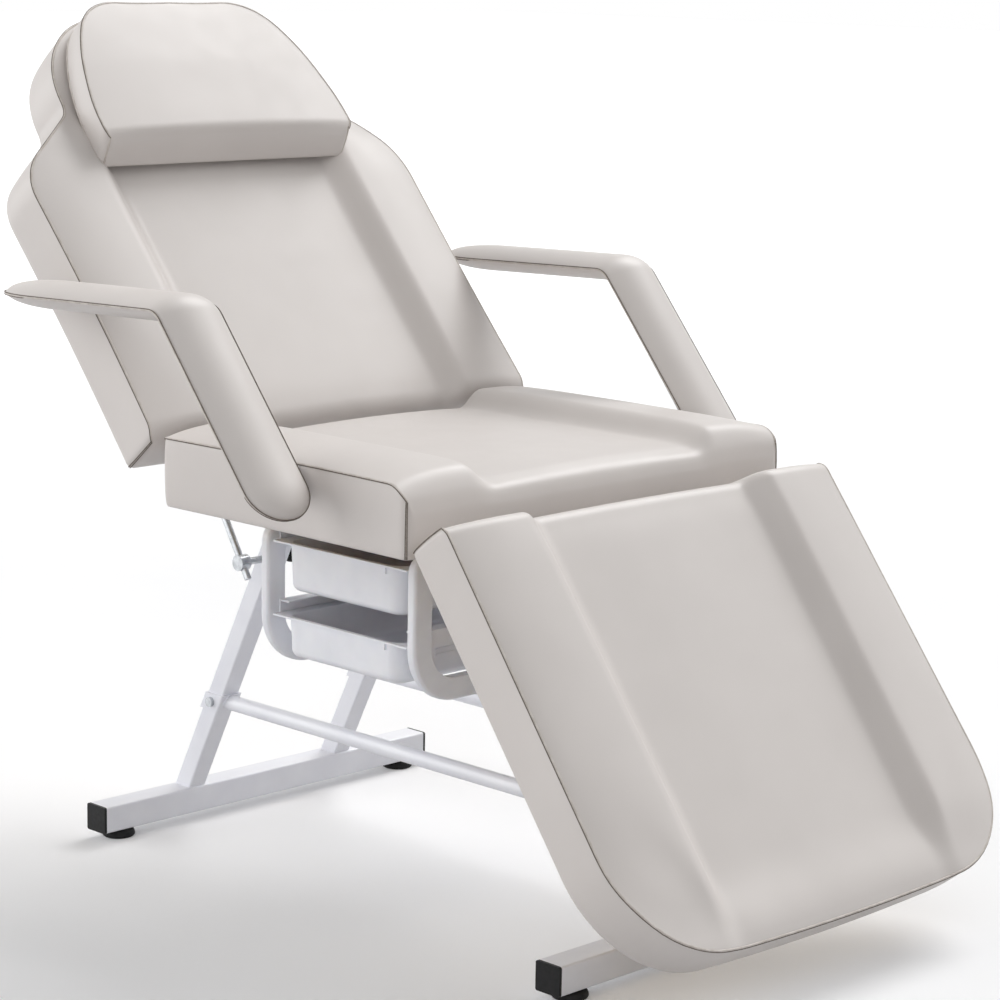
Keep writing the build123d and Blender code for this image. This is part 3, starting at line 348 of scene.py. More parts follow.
def round_line(name, points, radius, sides, material, body, closed):
    """A thin round line, piping or painted seam shade, through points in the frame's own axes."""
    count = len(points)
    ahead = np.roll(points, -1, axis=0) if closed else np.vstack([points[1:], points[-1:]])
    behind = np.roll(points, 1, axis=0) if closed else np.vstack([points[:1], points[:-1]])
    along = ahead - behind
    along /= np.linalg.norm(along, axis=1)[:, None]
    side = np.cross(along[0], OBLIQUE)
    verts = []
    for k in range(count):
        side = side - np.dot(side, along[k]) * along[k]
        side /= np.linalg.norm(side)
        other = np.cross(along[k], side)
        for s in range(sides):
            angle = 2 * math.pi * s / sides
            verts.append(points[k] + radius * (math.cos(angle) * side + math.sin(angle) * other))
    faces = []
    for k in range(count if closed else count - 1):
        m = (k + 1) % count
        for s in range(sides):
            t = (s + 1) % sides
            faces.append((k * sides + s, k * sides + t, m * sides + t, m * sides + s))
    if not closed:
        faces.append(tuple(range(sides))[::-1])
        faces.append(tuple(range((count - 1) * sides, count * sides)))
    return new_piece(name, verts, faces, material, body)


# Padded sections
# Across a section: a low channel with a slight crown, then a slope up to a bolster on each side
CHANNEL_HALF = 185 * MM
CHANNEL_SLOPE = 50 * MM
CHANNEL_DEPTH = 13 * MM
CHANNEL_CROWN = 4 * MM
CREST = 12 * MM
CREST_ROUND = 2.4
# Under it: the cover turns in to the pocket of the board; the mesh closes above the board, where
# it is a little smaller than the pocket
TURN_UNDER = 2.5 * MM
BOARD_INSET = 14 * MM
BOARD_THICK = 12 * MM
POCKET_GAP = 0.3 * MM
CEILING_SHARE = 0.995
# How far down a side panel each ring of its mesh lies, and how far it swells there
WALL_ROWS = ((0.05, 0.8 * MM), (0.15, 1.4 * MM), (0.35, 1.9 * MM), (0.55, 1.9 * MM),
             (0.75, 1.4 * MM), (0.9, 0.6 * MM), (0.98, -0.8 * MM))
# How much the mesh lines crowd towards the seams, from 0 to 1
GRID_EASE = 0.5
# The mesh's corners lie this far in from the corners of the outline
CORNER_IN = 3 * MM
WELT_RADIUS = 1.5 * MM
WELT_SIDES = 8
# Dark seam lines, painted shade of the stitched gap: radius, sides, offset beside and proud
SHADE_LINE_RADIUS = 0.75 * MM
SHADE_LINE_SIDES = 6
SHADE_LINE_BESIDE = 1.0 * MM
SHADE_LINE_PROUD = 1.4 * MM


def across_profile(x, half):
    """Height over the seam line: the low middle, the bolster's crest, and down to the seam."""
    x = np.abs(x)
    middle = -CHANNEL_DEPTH + CHANNEL_CROWN * (1 - (x / CHANNEL_HALF) ** 2)
    middle = np.where(x > CHANNEL_HALF, -CHANNEL_DEPTH, middle)
    rise = smooth((x - CHANNEL_HALF) / CHANNEL_SLOPE)
    slope_end = CHANNEL_HALF + CHANNEL_SLOPE
    outer = np.clip((x - slope_end) / (half - slope_end), 0, 1)
    crest = CREST * (1 - outer ** CREST_ROUND)
    return middle + (crest - middle) * rise


def drop_at_edge(distance, radius):
    """How much a panel that rolls over an edge has fallen, at a distance in from it."""
    inside = np.clip(distance / radius, 0, 1)
    return radius * (1 - np.sqrt(np.clip(1 - (1 - inside) ** 2, 0, 1)))


class Cover:
    """Closed quad mesh of a sewn cover: top panel as a grid, side panel, underside."""

    def __init__(self, outline, corners, grid, height, base=0.0, pocket=True):
        loop = [np.array(p, float) for p in outline]
        starts = [nearest(loop, x, y) for x, y in corners]
        sides = []
        for a, b in zip(starts, starts[1:] + starts[:1]):
            sides.append(loop[a:b + 1] if b > a else loop[a:] + loop[:b + 1])
        columns, rows = grid
        low = spaced(sides[0], columns, GRID_EASE)
        high = spaced(sides[2][::-1], columns, GRID_EASE)
        right = spaced(sides[1], rows, GRID_EASE)
        left = spaced(sides[3][::-1], rows, GRID_EASE)
        flat = patch(low, high, left, right).reshape(-1, 2)
        self.rows, self.columns = rows + 1, columns + 1
        self.rim = rim_of(self.rows, self.columns)
        edge = flat[self.rim]
        tangent = np.roll(edge, -1, axis=0) - np.roll(edge, 1, axis=0)
        tangent /= np.linalg.norm(tangent, axis=1)[:, None]
        outward = np.stack([tangent[:, 1], -tangent[:, 0]], axis=1)
        top = np.column_stack([flat, base + height(flat[:, 0], flat[:, 1])])
        rise = top[self.rim][:, 2] - base
        rings = []
        for share, swell in WALL_ROWS:
            rings.append(np.column_stack([edge + outward * swell, base + rise * (1 - share)]))
        self.walls = len(rings)
        level = np.full(len(edge), base)
        rings.append(np.column_stack([edge - outward * TURN_UNDER, level]))
        inset = edge - outward * BOARD_INSET
        rings.append(np.column_stack([inset, level]))
        under = base
        if pocket:
            under = base + BOARD_THICK + POCKET_GAP
            rings.append(np.column_stack([inset, np.full(len(edge), under)]))
        inner = np.ones(len(flat), bool)
        inner[self.rim] = False
        centre = flat.mean(axis=0)
        shrink = CEILING_SHARE * (1 - BOARD_INSET / np.abs(edge).max())
        ceiling = np.column_stack([centre + (flat - centre) * shrink, np.full(len(flat), under)])
        self.points = np.vstack([top] + rings + [ceiling[inner]])
        self.top_count, self.size, self.rings = len(flat), len(self.rim), len(rings)
        self.faces = self.connect(inner)

    def connect(self, inner):
        columns = self.columns
        cells = [(r * columns + c) for r in range(self.rows - 1) for c in range(columns - 1)]
        faces = [(a, a + 1, a + columns + 1, a + columns) for a in cells]
        above = self.rim
        for k in range(self.rings):
            below = [self.top_count + k * self.size + s for s in range(self.size)]
            for s in range(self.size):
                t = (s + 1) % self.size
                faces.append((int(above[s]), below[s], below[t], int(above[t])))
            above = below
        number = np.full(self.top_count, -1)
        number[inner] = self.top_count + self.rings * self.size + np.arange(inner.sum())
        number[self.rim] = above
        for a in cells:
            cell = (a, a + columns, a + columns + 1, a + 1)
            faces.append(tuple(int(number[i]) for i in cell))
        return faces

    def held(self):
        """1 where the cover is sewn or tacked down, 0 where it is free to swell."""
        weight = np.zeros(len(self.points))
        weight[self.rim] = 1
        weight[self.top_count + self.walls * self.size:] = 1
        return weight

    def rim_place(self, x, y):
        return nearest(self.points[self.rim], x, y)

    def down_the_side(self, place):
        """Vertex numbers from the rim to the underside, at one place of the rim."""
        place = place % self.size
        walls = [self.top_count + k * self.size + place for k in range(self.walls)]
        return [self.rim[place]] + walls

    def places(self, first, last):
        """Places of the rim from one to another, counter-clockwise."""
        stop = last if last >= first else last + self.size
        return [k % self.size for k in range(first, stop + 1)]

    def along_rim(self, first, last):
        """Vertex numbers of the rim from one place to another."""
        return [self.rim[k] for k in self.places(first, last)]

    def along_wall(self, first, last, ring=0):
        """The same places on a ring of the side panel."""
        return [self.top_count + ring * self.size + k for k in self.places(first, last)]


# The swell of a cover over its foam: cloth settings, and how often its shifts are evened out
SWELL_FRAMES = 20
PRESSURE = 1.5
POINT_MASS = 0.3
STRETCH_STIFFNESS = 30
SHEAR_STIFFNESS = 15
BEND_STIFFNESS = 2
EVENING_ROUNDS = 60
EVENING_SHARE = 0.7
# A shift shorter than this counts as this long, so that it can be divided by
LEAST_SHIFT = 1e-9
COVER_CAP = 3 * MM


def evened(mesh, shift, held):
    """The shifts without short creases, which a cover drawn tight over firm foam does not have."""
    edges = np.array([e.vertices[:] for e in mesh.edges])
    neighbours = np.bincount(edges.ravel(), minlength=len(shift))[:, None]
    free = 1 - np.array(held, float)[:, None]
    for _ in range(EVENING_ROUNDS):
        total = np.zeros_like(shift)
        np.add.at(total, edges[:, 0], shift[edges[:, 1]])
        np.add.at(total, edges[:, 1], shift[edges[:, 0]])
        shift = shift + EVENING_SHARE * free * (total / neighbours - shift)
    return shift


def let_swell(piece, held, cap):
    """Lets a cover swell over its foam and keeps the result; no point moves past the cap."""
    mesh = piece.data
    rest = np.array([v.co for v in mesh.vertices])
    group = piece.vertex_groups.new(name="held")
    for index, weight in enumerate(held):
        group.add([index], float(weight), "REPLACE")
    cloth = piece.modifiers.new("cover", "CLOTH")
    settings = cloth.settings
    settings.vertex_group_mass = "held"
    settings.use_pressure = True
    settings.uniform_pressure_force = PRESSURE
    settings.mass = POINT_MASS
    settings.tension_stiffness = STRETCH_STIFFNESS
    settings.compression_stiffness = STRETCH_STIFFNESS
    settings.shear_stiffness = SHEAR_STIFFNESS
    settings.bending_stiffness = BEND_STIFFNESS
    settings.effector_weights.gravity = 0
    cloth.point_cache.frame_start = 1
    cloth.point_cache.frame_end = SWELL_FRAMES
    scene = bpy.context.scene
    for number in range(1, SWELL_FRAMES + 1):
        scene.frame_set(number)
    seen = piece.evaluated_get(bpy.context.evaluated_depsgraph_get())
    moved = np.array([v.co for v in seen.data.vertices])
    piece.modifiers.remove(cloth)
    piece.vertex_groups.remove(group)
    scene.frame_set(1)
    shift = evened(mesh, moved - rest, held)
    size = np.linalg.norm(shift, axis=1)
    limited = cap * np.tanh(size / cap) / np.maximum(size, LEAST_SHIFT)
    final = rest + shift * limited[:, None]
    mesh.vertices.foreach_set("co", final.astype(np.float32).ravel())
    mesh.update()


def subdivide(piece):
    """One round of subdivision, applied, so that the seams can follow the smooth mesh."""
    made = piece.modifiers.new("smooth", "SUBSURF")
    made.levels = made.render_levels = 1
    seen = piece.evaluated_get(bpy.context.evaluated_depsgraph_get())
    mesh = bpy.data.meshes.new_from_object(seen)
    piece.modifiers.remove(made)
    old = piece.data
    piece.data = mesh
    bpy.data.meshes.remove(old)


def padded_piece(name, node, body, form, place, cap=COVER_CAP):
    """A cover that swells over its foam and stands for a soft solid of the frame."""
    piece = new_piece(name, form.points, form.faces, leather, body, place)
    let_swell(piece, form.held(), cap)
    subdivide(piece)
    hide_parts(node)
    return piece


def sewn_edge(name, piece, numbers, beside, body, closed=False):
    """Piping along a seam, and on each neighbouring panel a dark line of painted shade for the gap.

    Every list in beside holds, point for point, the next vertex of one panel."""
    places = [v.co for v in piece.data.vertices]
    line = np.array([places[int(i)] for i in numbers])
    round_line(name + "_piping", line, WELT_RADIUS, WELT_SIDES, welt, body, closed)
    middle = np.array(piece.bound_box).mean(axis=0)
    along = np.gradient(line, axis=0)
    for count, panel in enumerate(beside):
        into = np.array([places[int(i)] for i in panel]) - line
        into /= np.linalg.norm(into, axis=1)[:, None]
        proud = np.cross(along, into)
        proud /= np.linalg.norm(proud, axis=1)[:, None]
        proud *= np.sign(np.sum(proud * (line - middle), axis=1))[:, None]
        # A dark line of painted shade, where the gap beside the seam lies in shadow
        gap = line + SHADE_LINE_BESIDE * into + SHADE_LINE_PROUD * proud
        gap_name = f"{name}_painted_gap_shade_{count}"
        round_line(gap_name, gap, SHADE_LINE_RADIUS, SHADE_LINE_SIDES, seam_shade_line, body, closed)


# Outlines, in mm, each given by its right half from the low end to the high end
SIDE_DRAW = 3
SIDE_STEPS = np.linspace(0.05, 0.95, 19)
SEAT_CORNER = 12
BACKREST_CORNER = 10
BACKREST_STRAIGHT = 395
# Shoulder, neck, side of the head part, its round corner and its top
BACKREST_HEAD = ((318, 461), (245, 520), (229, 553), (206, 630), (130, 690), (0, 711))
LEGREST_HALF = 357
LEGREST_HALF_LOW = 362
LEGREST_CORNER = 8
LEGREST_ROUND = 148
LEGREST_LENGTH = 588
LEGREST_END_BOW = 4
LEGREST_SIDE_STEPS = np.linspace(0.05, 0.95, 20)
LEGREST_END_STEPS = np.linspace(0.1, 1, 10)
PILLOW_LOW = 431
PILLOW_HALF = 228
PILLOW_CORNER = 14
PILLOW_HALF_FLAT = 110
PILLOW_SIDE = ((215, 557), (180, 642), (95, 686), (0, 686))


def low_end(half, corner):
    """Half of a straight low end with its small round corner."""
    return [(0, 0), (half / 2, 0)] + run_arcs((half - corner, 0), 0, [(half, corner)])


def drawn_side(half, low, high):
    """A side that the cover's pull draws in a little between its corners."""
    return [(half - SIDE_DRAW * math.sin(math.pi * t), low + (high - low) * t)
            for t in SIDE_STEPS]


def seat_outline():
    half, depth, corner = SEAT_HALF / MM, SEAT_DEPTH / MM, SEAT_CORNER
    line = low_end(half, corner) + drawn_side(half, corner, depth - corner)
    line += run_arcs((half, depth - corner), 90, [(half - corner, depth)]) + [(0, depth)]
    return in_metres(mirror_outline(line))


def backrest_outline():
    half = SEAT_HALF / MM
    line = low_end(half, BACKREST_CORNER) + drawn_side(half, BACKREST_CORNER, BACKREST_STRAIGHT)
    line += run_arcs((half, BACKREST_STRAIGHT), 90, BACKREST_HEAD)
    return in_metres(mirror_outline(line))


def legrest_outline():
    widening = LEGREST_HALF_LOW - LEGREST_HALF
    straight = LEGREST_LENGTH - LEGREST_ROUND - LEGREST_CORNER
    flat = LEGREST_HALF_LOW - LEGREST_ROUND
    line = low_end(LEGREST_HALF, LEGREST_CORNER)
    line += [(LEGREST_HALF + widening * t, LEGREST_CORNER + straight * t)
             for t in LEGREST_SIDE_STEPS]
    line += run_arcs((LEGREST_HALF_LOW, LEGREST_LENGTH - LEGREST_ROUND), 90,
                     [(flat, LEGREST_LENGTH)])
    line += [(flat * (1 - t), LEGREST_LENGTH + LEGREST_END_BOW * (1 - (1 - t) ** 2))
             for t in LEGREST_END_STEPS]
    return in_metres(mirror_outline(line))


def pillow_outline():
    corner = (PILLOW_HALF, PILLOW_LOW + PILLOW_CORNER)
    line = [(0, PILLOW_LOW), (PILLOW_HALF_FLAT, PILLOW_LOW)]
    line += run_arcs((PILLOW_HALF - PILLOW_CORNER, PILLOW_LOW), 0, [corner])
    line += run_arcs(corner, 90, PILLOW_SIDE)[1:]
    return in_metres(mirror_outline(line))


def four_corners(low, low_y, high, high_y):
    """Corners of a cover's mesh, counter-clockwise from the low left one."""
    return (-low, low_y), (low, low_y), (high, high_y), (-high, high_y)


def sewn_corner(name, piece, form, place, body, panels=(-1, 1)):
    """Piping down a side panel's upright seam, with the gap towards each panel given."""
    beside = [form.down_the_side(place + panel) for panel in panels]
    sewn_edge(name, piece, form.down_the_side(place), beside, body)


SEAT_GRID = (110, 76)
SEAT_FRONT_ROLL = 34 * MM
SEAT_BACK_ROLL = 9 * MM
# The bolsters rise over this length from the front edge, where they already have this share
SEAT_BOLSTER_RISE = 40 * MM
SEAT_BOLSTER_START = 0.3


def make_seat():
    """Seat: the top panel rolls over the front edge; each side panel is piped all round."""
    half, near, far = SEAT_HALF - CORNER_IN, CORNER_IN, SEAT_DEPTH - CORNER_IN

    def height(x, y):
        ends = drop_at_edge(y, SEAT_FRONT_ROLL) + drop_at_edge(SEAT_DEPTH - y, SEAT_BACK_ROLL)
        bolsters = smooth(y / SEAT_BOLSTER_RISE + SEAT_BOLSTER_START)
        return SEAT_THICK - ends + across_profile(x, SEAT_HALF) * bolsters

    body = "base_and_seat"
    form = Cover(seat_outline(), four_corners(half, near, half, far), SEAT_GRID, height)
    piece = padded_piece("seat_cover", "seat_cushion", body, form, seat_frame)
    for side, hand in ((1, "left"), (-1, "right")):
        front = form.rim_place(side * half, near)
        back = form.rim_place(side * half, far)
        ends = (front, back) if side > 0 else (back, front)
        sewn_edge("seat_" + hand, piece, form.along_rim(*ends), [form.along_wall(*ends)], body)
        sewn_corner("seat_front_" + hand, piece, form, front, body)


BACKREST_GRID = (110, 120)
BACKREST_LOW_ROLL = 26 * MM
# The channel runs out below the head part, which has its own low crown
BACKREST_CHANNEL_END = 470 * MM
BACKREST_CHANNEL_FADE = 90 * MM
HEAD_CROWN = 0.7 * CREST
HEAD_HALF = 215 * MM
HEAD_START = 480 * MM
HEAD_RISE = 80 * MM
HEAD_END = 711 * MM
HEAD_FALL = 60 * MM
HEAD_FALL_ROUND = 0.7
HEAD_CORNER = (130 * MM, 690 * MM)


def make_backrest():
    """Backrest: shoulders, a neck and the narrower head part, piped except along its low end."""
    half = SEAT_HALF - CORNER_IN

    def height(x, y):
        channel = 1 - smooth((y - BACKREST_CHANNEL_END) / BACKREST_CHANNEL_FADE)
        crown = HEAD_CROWN * smooth((y - HEAD_START) / HEAD_RISE)
        crown = crown * np.clip(1 - (np.abs(x) / HEAD_HALF) ** 2, 0, 1)
        crown = crown * np.clip((HEAD_END - y) / HEAD_FALL, 0, 1) ** HEAD_FALL_ROUND
        low = BACKREST_THICK - drop_at_edge(y, BACKREST_LOW_ROLL)
        return low + across_profile(x, SEAT_HALF) * channel + crown

    corners = four_corners(half, CORNER_IN, *HEAD_CORNER)
    form = Cover(backrest_outline(), corners, BACKREST_GRID, height)
    piece = padded_piece("backrest_cover", "backrest_cushion", "backrest", form, back_frame)
    ends = form.rim_place(half, CORNER_IN), form.rim_place(-half, CORNER_IN)
    gap = [form.along_wall(*ends)]
    sewn_edge("backrest_edge", piece, form.along_rim(*ends), gap, "backrest")
    for place, hand in zip(ends, ("left", "right")):
        sewn_corner("backrest_corner_" + hand, piece, form, place, "backrest")


LEGREST_GRID = (110, 100)
LEGREST_UPPER_ROLL = 16 * MM
LEGREST_PROFILE_HALF = 360 * MM
# The channel loses this share of its depth towards the foot end
LEGREST_CHANNEL_LOSS = 0.75
LEGREST_CHANNEL_END = 480 * MM
LEGREST_CHANNEL_FADE = 105 * MM
FOOT_END = 592 * MM
FOOT_DROP = 3 * MM
FOOT_DROP_OVER = 24 * MM
LEGREST_MESH_HALF = 354 * MM
LEGREST_ROUND_MIDDLE = (318 * MM, 545 * MM)


def make_legrest():
    """Legrest: two large round foot corners, piped except along its upper end."""

    def height(x, y):
        fade = smooth((y - LEGREST_CHANNEL_END) / LEGREST_CHANNEL_FADE)
        channel = 1 - LEGREST_CHANNEL_LOSS * fade
        drop = FOOT_DROP * (1 - np.clip((FOOT_END - y) / FOOT_DROP_OVER, 0, 1)) ** 2
        upper = LEGREST_THICK - drop_at_edge(y, LEGREST_UPPER_ROLL)
        return upper + across_profile(x, LEGREST_PROFILE_HALF) * channel - drop

    corners = four_corners(LEGREST_MESH_HALF, CORNER_IN, *LEGREST_ROUND_MIDDLE)
    form = Cover(legrest_outline(), corners, LEGREST_GRID, height)
    piece = padded_piece("legrest_cover", "legrest_cushion", "legrest", form, leg_frame)
    ends = [form.rim_place(side * LEGREST_MESH_HALF, CORNER_IN) for side in (1, -1)]
    gap = [form.along_wall(*ends)]
    sewn_edge("legrest_edge", piece, form.along_rim(*ends), gap, "legrest")
    for place, hand, panel in zip(ends, ("right", "left"), (1, -1)):
        sewn_corner("legrest_corner_" + hand, piece, form, place, "legrest", (panel,))


PILLOW_GRID = (72, 54)
PILLOW_CAP = 3.5 * MM
PILLOW_THICK = 46 * MM
# The pillow is pressed this far into the backrest's head part
PILLOW_SINK = 6 * MM
PILLOW_CROWN = 8 * MM
PILLOW_CROWN_ROUND = 2.6
PILLOW_CROWN_FALL = 110 * MM
PILLOW_CROWN_FALL_ROUND = 0.6
PILLOW_LOW_ROLL = 12 * MM
# The front face leans this far up from the low edge, less and less over the length given
PILLOW_LEAN = 22 * MM
PILLOW_LEAN_START = 437 * MM
PILLOW_LEAN_OVER = 140 * MM
PILLOW_MESH_HALF = 225 * MM
PILLOW_MESH_LOW = 434 * MM
PILLOW_SEAM_LOW = 447 * MM
PILLOW_TOP = (95 * MM, 686 * MM)


def make_pillow():
    """Head pillow: a gusseted pad whose front panel rolls over the low edge and under it."""
    base = BACKREST_THICK + CREST - PILLOW_SINK

    def height(x, y):
        across = 1 - np.clip(np.abs(x) / (PILLOW_HALF * MM), 0, 1) ** PILLOW_CROWN_ROUND
        fall = np.clip((PILLOW_TOP[1] - y) / PILLOW_CROWN_FALL, 0, 1) ** PILLOW_CROWN_FALL_ROUND
        roll = drop_at_edge(y - PILLOW_LOW * MM, PILLOW_LOW_ROLL)
        return PILLOW_THICK + PILLOW_CROWN * across * fall - roll

    corners = four_corners(PILLOW_MESH_HALF, PILLOW_MESH_LOW, *PILLOW_TOP)
    form = Cover(pillow_outline(), corners, PILLOW_GRID, height, base, pocket=False)
    points = form.points
    lean = PILLOW_LEAN * np.clip((points[:, 2] - base) / PILLOW_THICK, 0, 1)
    points[:, 1] += lean * (1 - smooth((points[:, 1] - PILLOW_LEAN_START) / PILLOW_LEAN_OVER))
    body = "head_pillow"
    piece = padded_piece("head_pillow_cover", "head_pillow", body, form, back_frame,
                         PILLOW_CAP)
    ends = [form.rim_place(side * PILLOW_MESH_HALF, PILLOW_SEAM_LOW) for side in (1, -1)]
    sewn_edge("pillow_front", piece, form.along_rim(*ends), [form.along_wall(*ends)], body)
    for place, hand in zip(ends, ("left", "right")):
        sewn_corner("pillow_corner_" + hand, piece, form, place, body, ())
    sewn_edge("pillow_back", piece, form.along_wall(*ends, form.walls - 2), [], body)


# Armrests
ARM_WIDTH = 100 * MM
ARM_FROM_SEAT = 10 * MM
ARM_THICK = 38 * MM
ARM_CAP = 2.5 * MM
# The middle line seen from the side, in mm: y from the seat's front edge, z from the floor
ARM_REAR = (606, 784)
ARM_ELBOW = (345, 792)
ARM_LOWER = (172, 585)
ARM_BEND = 28
ARM_REAR_TAPER = 102
ARM_LOWER_TAPER = 44
# Sections along the pad's rear end, straight parts, bend and lower end; points round a section
ARM_REAR_TURNS = np.linspace(84, 4, 14)
ARM_STRAIGHT = np.linspace(0, 1, 26)
ARM_BEND_STEPS = 10
ARM_LOWER_TURNS = np.linspace(6, 84, 12)
ARM_ROUND = 28
ARM_HALF_ROUND = ARM_ROUND // 2
# The lens section: how full its panels are, and how they thin towards the two ends
ARM_FULL = 2.2
ARM_BLUNT = 0.8
ARM_THINNING = 0.9


def arm_line():
    """Middle line of the pad: places, headings and how wide the pad still is there."""
    rear, elbow, lower = (np.array(p, float) for p in (ARM_REAR, ARM_ELBOW, ARM_LOWER))
    first = (elbow - rear) / np.linalg.norm(elbow - rear)
    second = (lower - elbow) / np.linalg.norm(lower - elbow)
    bend = math.acos(float(np.dot(first, second)))
    cut = ARM_BEND * math.tan(bend / 2)
    spots = []
    for share in np.radians(ARM_REAR_TURNS):
        spots.append((rear - first * ARM_REAR_TAPER * math.sin(share), first, math.cos(share)))
    for t in ARM_STRAIGHT:
        spots.append((rear + (elbow - first * cut - rear) * t, first, 1.0))
    start = elbow - first * cut
    heading = math.degrees(math.atan2(first[1], first[0]))
    turned = math.degrees(math.atan2(second[1], second[0]))
    turn = (turned - heading + 180) % 360 - 180
    for k, place in enumerate(arc(start, heading, elbow + second * cut, ARM_BEND_STEPS)[0]):
        angle = math.radians(heading + turn * (k + 1) / ARM_BEND_STEPS)
        spots.append((place, np.array([math.cos(angle), math.sin(angle)]), 1.0))
    for t in ARM_STRAIGHT[1:]:
        spots.append((elbow + second * cut + (lower - elbow - second * cut) * t, second, 1.0))
    for share in np.radians(ARM_LOWER_TURNS):
        spots.append((lower + second * ARM_LOWER_TAPER * math.sin(share), second, math.cos(share)))
    return spots


def make_armrest(side, hand):
    """Armrest pad: two panels over a bent core, swollen between the piping of its long edges."""
    middle = side * (SEAT_HALF + ARM_FROM_SEAT + ARM_WIDTH / 2)
    spots = arm_line()
    points, faces = [], []
    for place, heading, share in spots:
        up = np.array([-heading[1], heading[0]])
        up = -up if heading[0] < 0 else up
        for k in range(ARM_ROUND):
            turn = 2 * math.pi * k / ARM_ROUND
            across = math.cos(turn)
            swell = 0.0
            if k % ARM_HALF_ROUND:
                swell = math.copysign((1 - abs(across) ** ARM_FULL) ** ARM_BLUNT, math.sin(turn))
            spot = place * MM + up * (ARM_THICK / 2 * swell * share ** ARM_THINNING)
            width = across * ARM_WIDTH / 2 * share
            points.append((middle + width, seat_low.y + spot[0], spot[1]))
    rows = [row * ARM_ROUND for row in range(len(spots))]
    for a, b in zip(rows, rows[1:]):
        for k in range(ARM_ROUND):
            t = (k + 1) % ARM_ROUND
            faces.append((a + k, a + t, b + t, b + k))
    faces.append(tuple(range(ARM_ROUND))[::-1])
    faces.append(tuple(range(rows[-1], rows[-1] + ARM_ROUND)))
    piece = new_piece("armrest_cover_" + hand, points, faces, leather, "base_and_seat")
    held = np.array([1.0 if i % ARM_HALF_ROUND == 0 else 0.0 for i in range(len(points))])
    held[:ARM_ROUND] = 1
    held[-ARM_ROUND:] = 1
    let_swell(piece, held, ARM_CAP)
    subdivide(piece)
    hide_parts("armrest_pad_" + hand)

    def edge(outer, inner):
        return [row + outer for row in rows] + [row + inner for row in rows[::-1]]

    panels = [edge(1, ARM_HALF_ROUND - 1), edge(ARM_ROUND - 1, ARM_HALF_ROUND + 1)]
    sewn_edge("armrest_" + hand, piece, edge(0, ARM_HALF_ROUND), panels, "base_and_seat", True)


# Studio
FLOOR_REACH = 40.0
FLOOR_SHADE = "#EAEAEB"
FLOOR_LIGHT = "#ECECED"
FLOOR_AS_LIGHT = "#CACACC"
# The floor's lift at each of two distances from the chair, in metres
FLOOR_LIFT_FROM = 1.5
FLOOR_LIFT_TO = 8.0
FLOOR_LIFT_NEAR = 0.15
FLOOR_LIFT_FAR = 0.4
WORLD_LIGHT = 0.27
# Each sun: the way to it, its strength and how many degrees wide it is
SUNS = (
    ("key_right", (0.66, 0.1, 0.75), 1.85, 35),
    ("key_front_right", (0.78, -0.4, 0.5), 0.5, 40),
    ("fill_left_back", (-0.62, 0.76, 0.17), 2.0, 60),
    ("fill_left_front", (-0.8, -0.56, 0.15), 0.95, 70),
)
OVERHEAD_PLACE = (0.3, 0.2, 2.7)
OVERHEAD_AIM = (0, 0, 0.6)
OVERHEAD_WATTS = 3
OVERHEAD_SIZE = 1.2


def seen_directly(tree):
    """1 where the camera sees the surface, also through glass or in metal, 0 where it is light."""
    path = add(tree, "ShaderNodeLightPath")
    seen = path.outputs["Is Camera Ray"]
    for way in ("Is Glossy Ray", "Is Transmission Ray"):
        both = {0: seen, 1: path.outputs[way]}
        seen = add(tree, "ShaderNodeMath", both, operation="MAXIMUM").outputs["Value"]
    return seen


def studio_floor():
    """A plain floor: near white for the camera, lifted away from the chair, greyer as light."""
    mesh = bpy.data.meshes.new("floor")
    ends = ((-1, -1), (1, -1), (1, 1), (-1, 1))
    mesh.from_pydata([(FLOOR_REACH * x, FLOOR_REACH * y, 0) for x, y in ends], [], [(0, 1, 2, 3)])
    floor = bpy.data.objects.new("floor", mesh)
    bpy.context.scene.collection.objects.link(floor)
    made = finish("studio_floor", {"Roughness": 0.8, "Specular IOR Level": 0.1},
                  (FLOOR_SHADE, FLOOR_LIGHT), ("patches", 400, 2))
    tree = made.node_tree
    shader = next(node for node in tree.nodes if node.type == "BSDF_PRINCIPLED")
    tone = shader.inputs["Base Color"].links[0].from_socket
    seen = seen_directly(tree)
    # A colour Mix node has its factor at socket 0, its two colours at 6 and 7 and its result at 2
    both = {0: seen, 6: linear(FLOOR_AS_LIGHT), 7: tone}
    shade = add(tree, "ShaderNodeMix", both, data_type="RGBA")
    tree.links.new(shade.outputs[2], shader.inputs["Base Color"])
    place = add(tree, "ShaderNodeTexCoord").outputs["Object"]
    away = add(tree, "ShaderNodeVectorMath", {0: place}, operation="LENGTH")
    lift = add(tree, "ShaderNodeMapRange", {
        "Value": away.outputs["Value"], "From Min": FLOOR_LIFT_FROM, "From Max": FLOOR_LIFT_TO,
        "To Min": FLOOR_LIFT_NEAR, "To Max": FLOOR_LIFT_FAR}, interpolation_type="SMOOTHSTEP")
    both = {0: lift.outputs["Result"], 1: seen}
    shown = add(tree, "ShaderNodeMath", both, operation="MULTIPLY")
    shader.inputs["Emission Color"].default_value = (1, 1, 1, 1)
    tree.links.new(shown.outputs["Value"], shader.inputs["Emission Strength"])
    mesh.materials.append(made)


def surroundings():
    """White for the camera and in reflections; a plain weaker white as light."""
    world = bpy.data.worlds.new("studio")
    bpy.context.scene.world = world
    world.use_nodes = True
    tree = world.node_tree
    tree.nodes.clear()
    reach = {"Value": seen_directly(tree), "To Min": WORLD_LIGHT, "To Max": 1.0}
    strength = add(tree, "ShaderNodeMapRange", reach).outputs["Result"]
    back = add(tree, "ShaderNodeBackground", {"Color": (1, 1, 1, 1), "Strength": strength})
    add(tree, "ShaderNodeOutputWorld", {"Surface": back.outputs["Background"]})


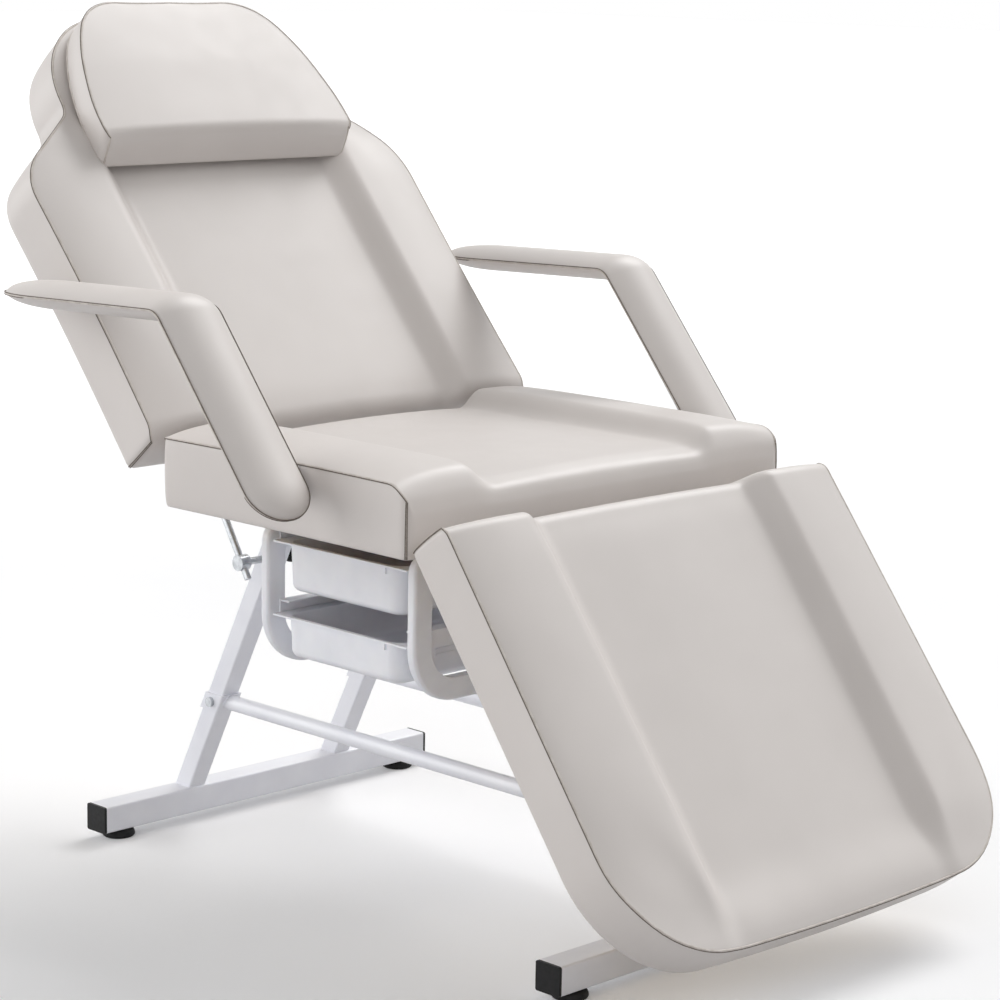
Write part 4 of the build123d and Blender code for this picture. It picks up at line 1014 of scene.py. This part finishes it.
def lamp(name, kind, place, aim, power, **settings):
    data = bpy.data.lights.new(name, kind)
    data.energy = power
    for setting, value in settings.items():
        setattr(data, setting, value)
    made = bpy.data.objects.new(name, data)
    made.location = place
    made.rotation_euler = (Vector(place) - Vector(aim)).to_track_quat("Z", "Y").to_euler()
    bpy.context.scene.collection.objects.link(made)


def lights():
    for name, towards, strength, wide in SUNS:
        lamp(name, "SUN", towards, (0, 0, 0), strength, angle=math.radians(wide))
    lamp("overhead", "AREA", OVERHEAD_PLACE, OVERHEAD_AIM, OVERHEAD_WATTS,
         shape="DISK", size=OVERHEAD_SIZE)


# Camera, at the photograph's viewing angle
CAMERA_X = -2743.3 * MM
CAMERA_FROM_SEAT = -2526.6 * MM
CAMERA_Z = 1242.7 * MM
CAMERA_YAW = math.radians(45.3)
CAMERA_PITCH = math.radians(-10.6)
CAMERA_ROLL = math.radians(1.1)
CAMERA_SEES_TO = 60
FOCAL_PIXELS = 2939.5
PICTURE_PIXELS = 1000
SENSOR = 36.0


def camera():
    data = bpy.data.cameras.new("camera")
    data.sensor_width = SENSOR
    data.lens = FOCAL_PIXELS / PICTURE_PIXELS * SENSOR
    data.clip_end = CAMERA_SEES_TO
    made = bpy.data.objects.new("camera", data)
    bpy.context.scene.collection.objects.link(made)
    forward = Vector((math.sin(CAMERA_YAW) * math.cos(CAMERA_PITCH),
                      math.cos(CAMERA_YAW) * math.cos(CAMERA_PITCH), math.sin(CAMERA_PITCH)))
    right = forward.cross(Vector((0, 0, 1))).normalized()
    up = right.cross(forward)
    tilted_right = right * math.cos(CAMERA_ROLL) + up * math.sin(CAMERA_ROLL)
    tilted_up = up * math.cos(CAMERA_ROLL) - right * math.sin(CAMERA_ROLL)
    turn = Matrix((tilted_right, tilted_up, -forward)).transposed().to_4x4()
    place = Vector((CAMERA_X, seat_low.y + CAMERA_FROM_SEAT, CAMERA_Z))
    made.matrix_world = Matrix.Translation(place) @ turn
    bpy.context.scene.camera = made


bpy.context.scene.view_settings.view_transform = "Standard"
camera()
studio_floor()
surroundings()
lights()
dress_frame()
make_seat()
make_backrest()
make_legrest()
make_pillow()
make_armrest(-1, "right")
make_armrest(1, "left")
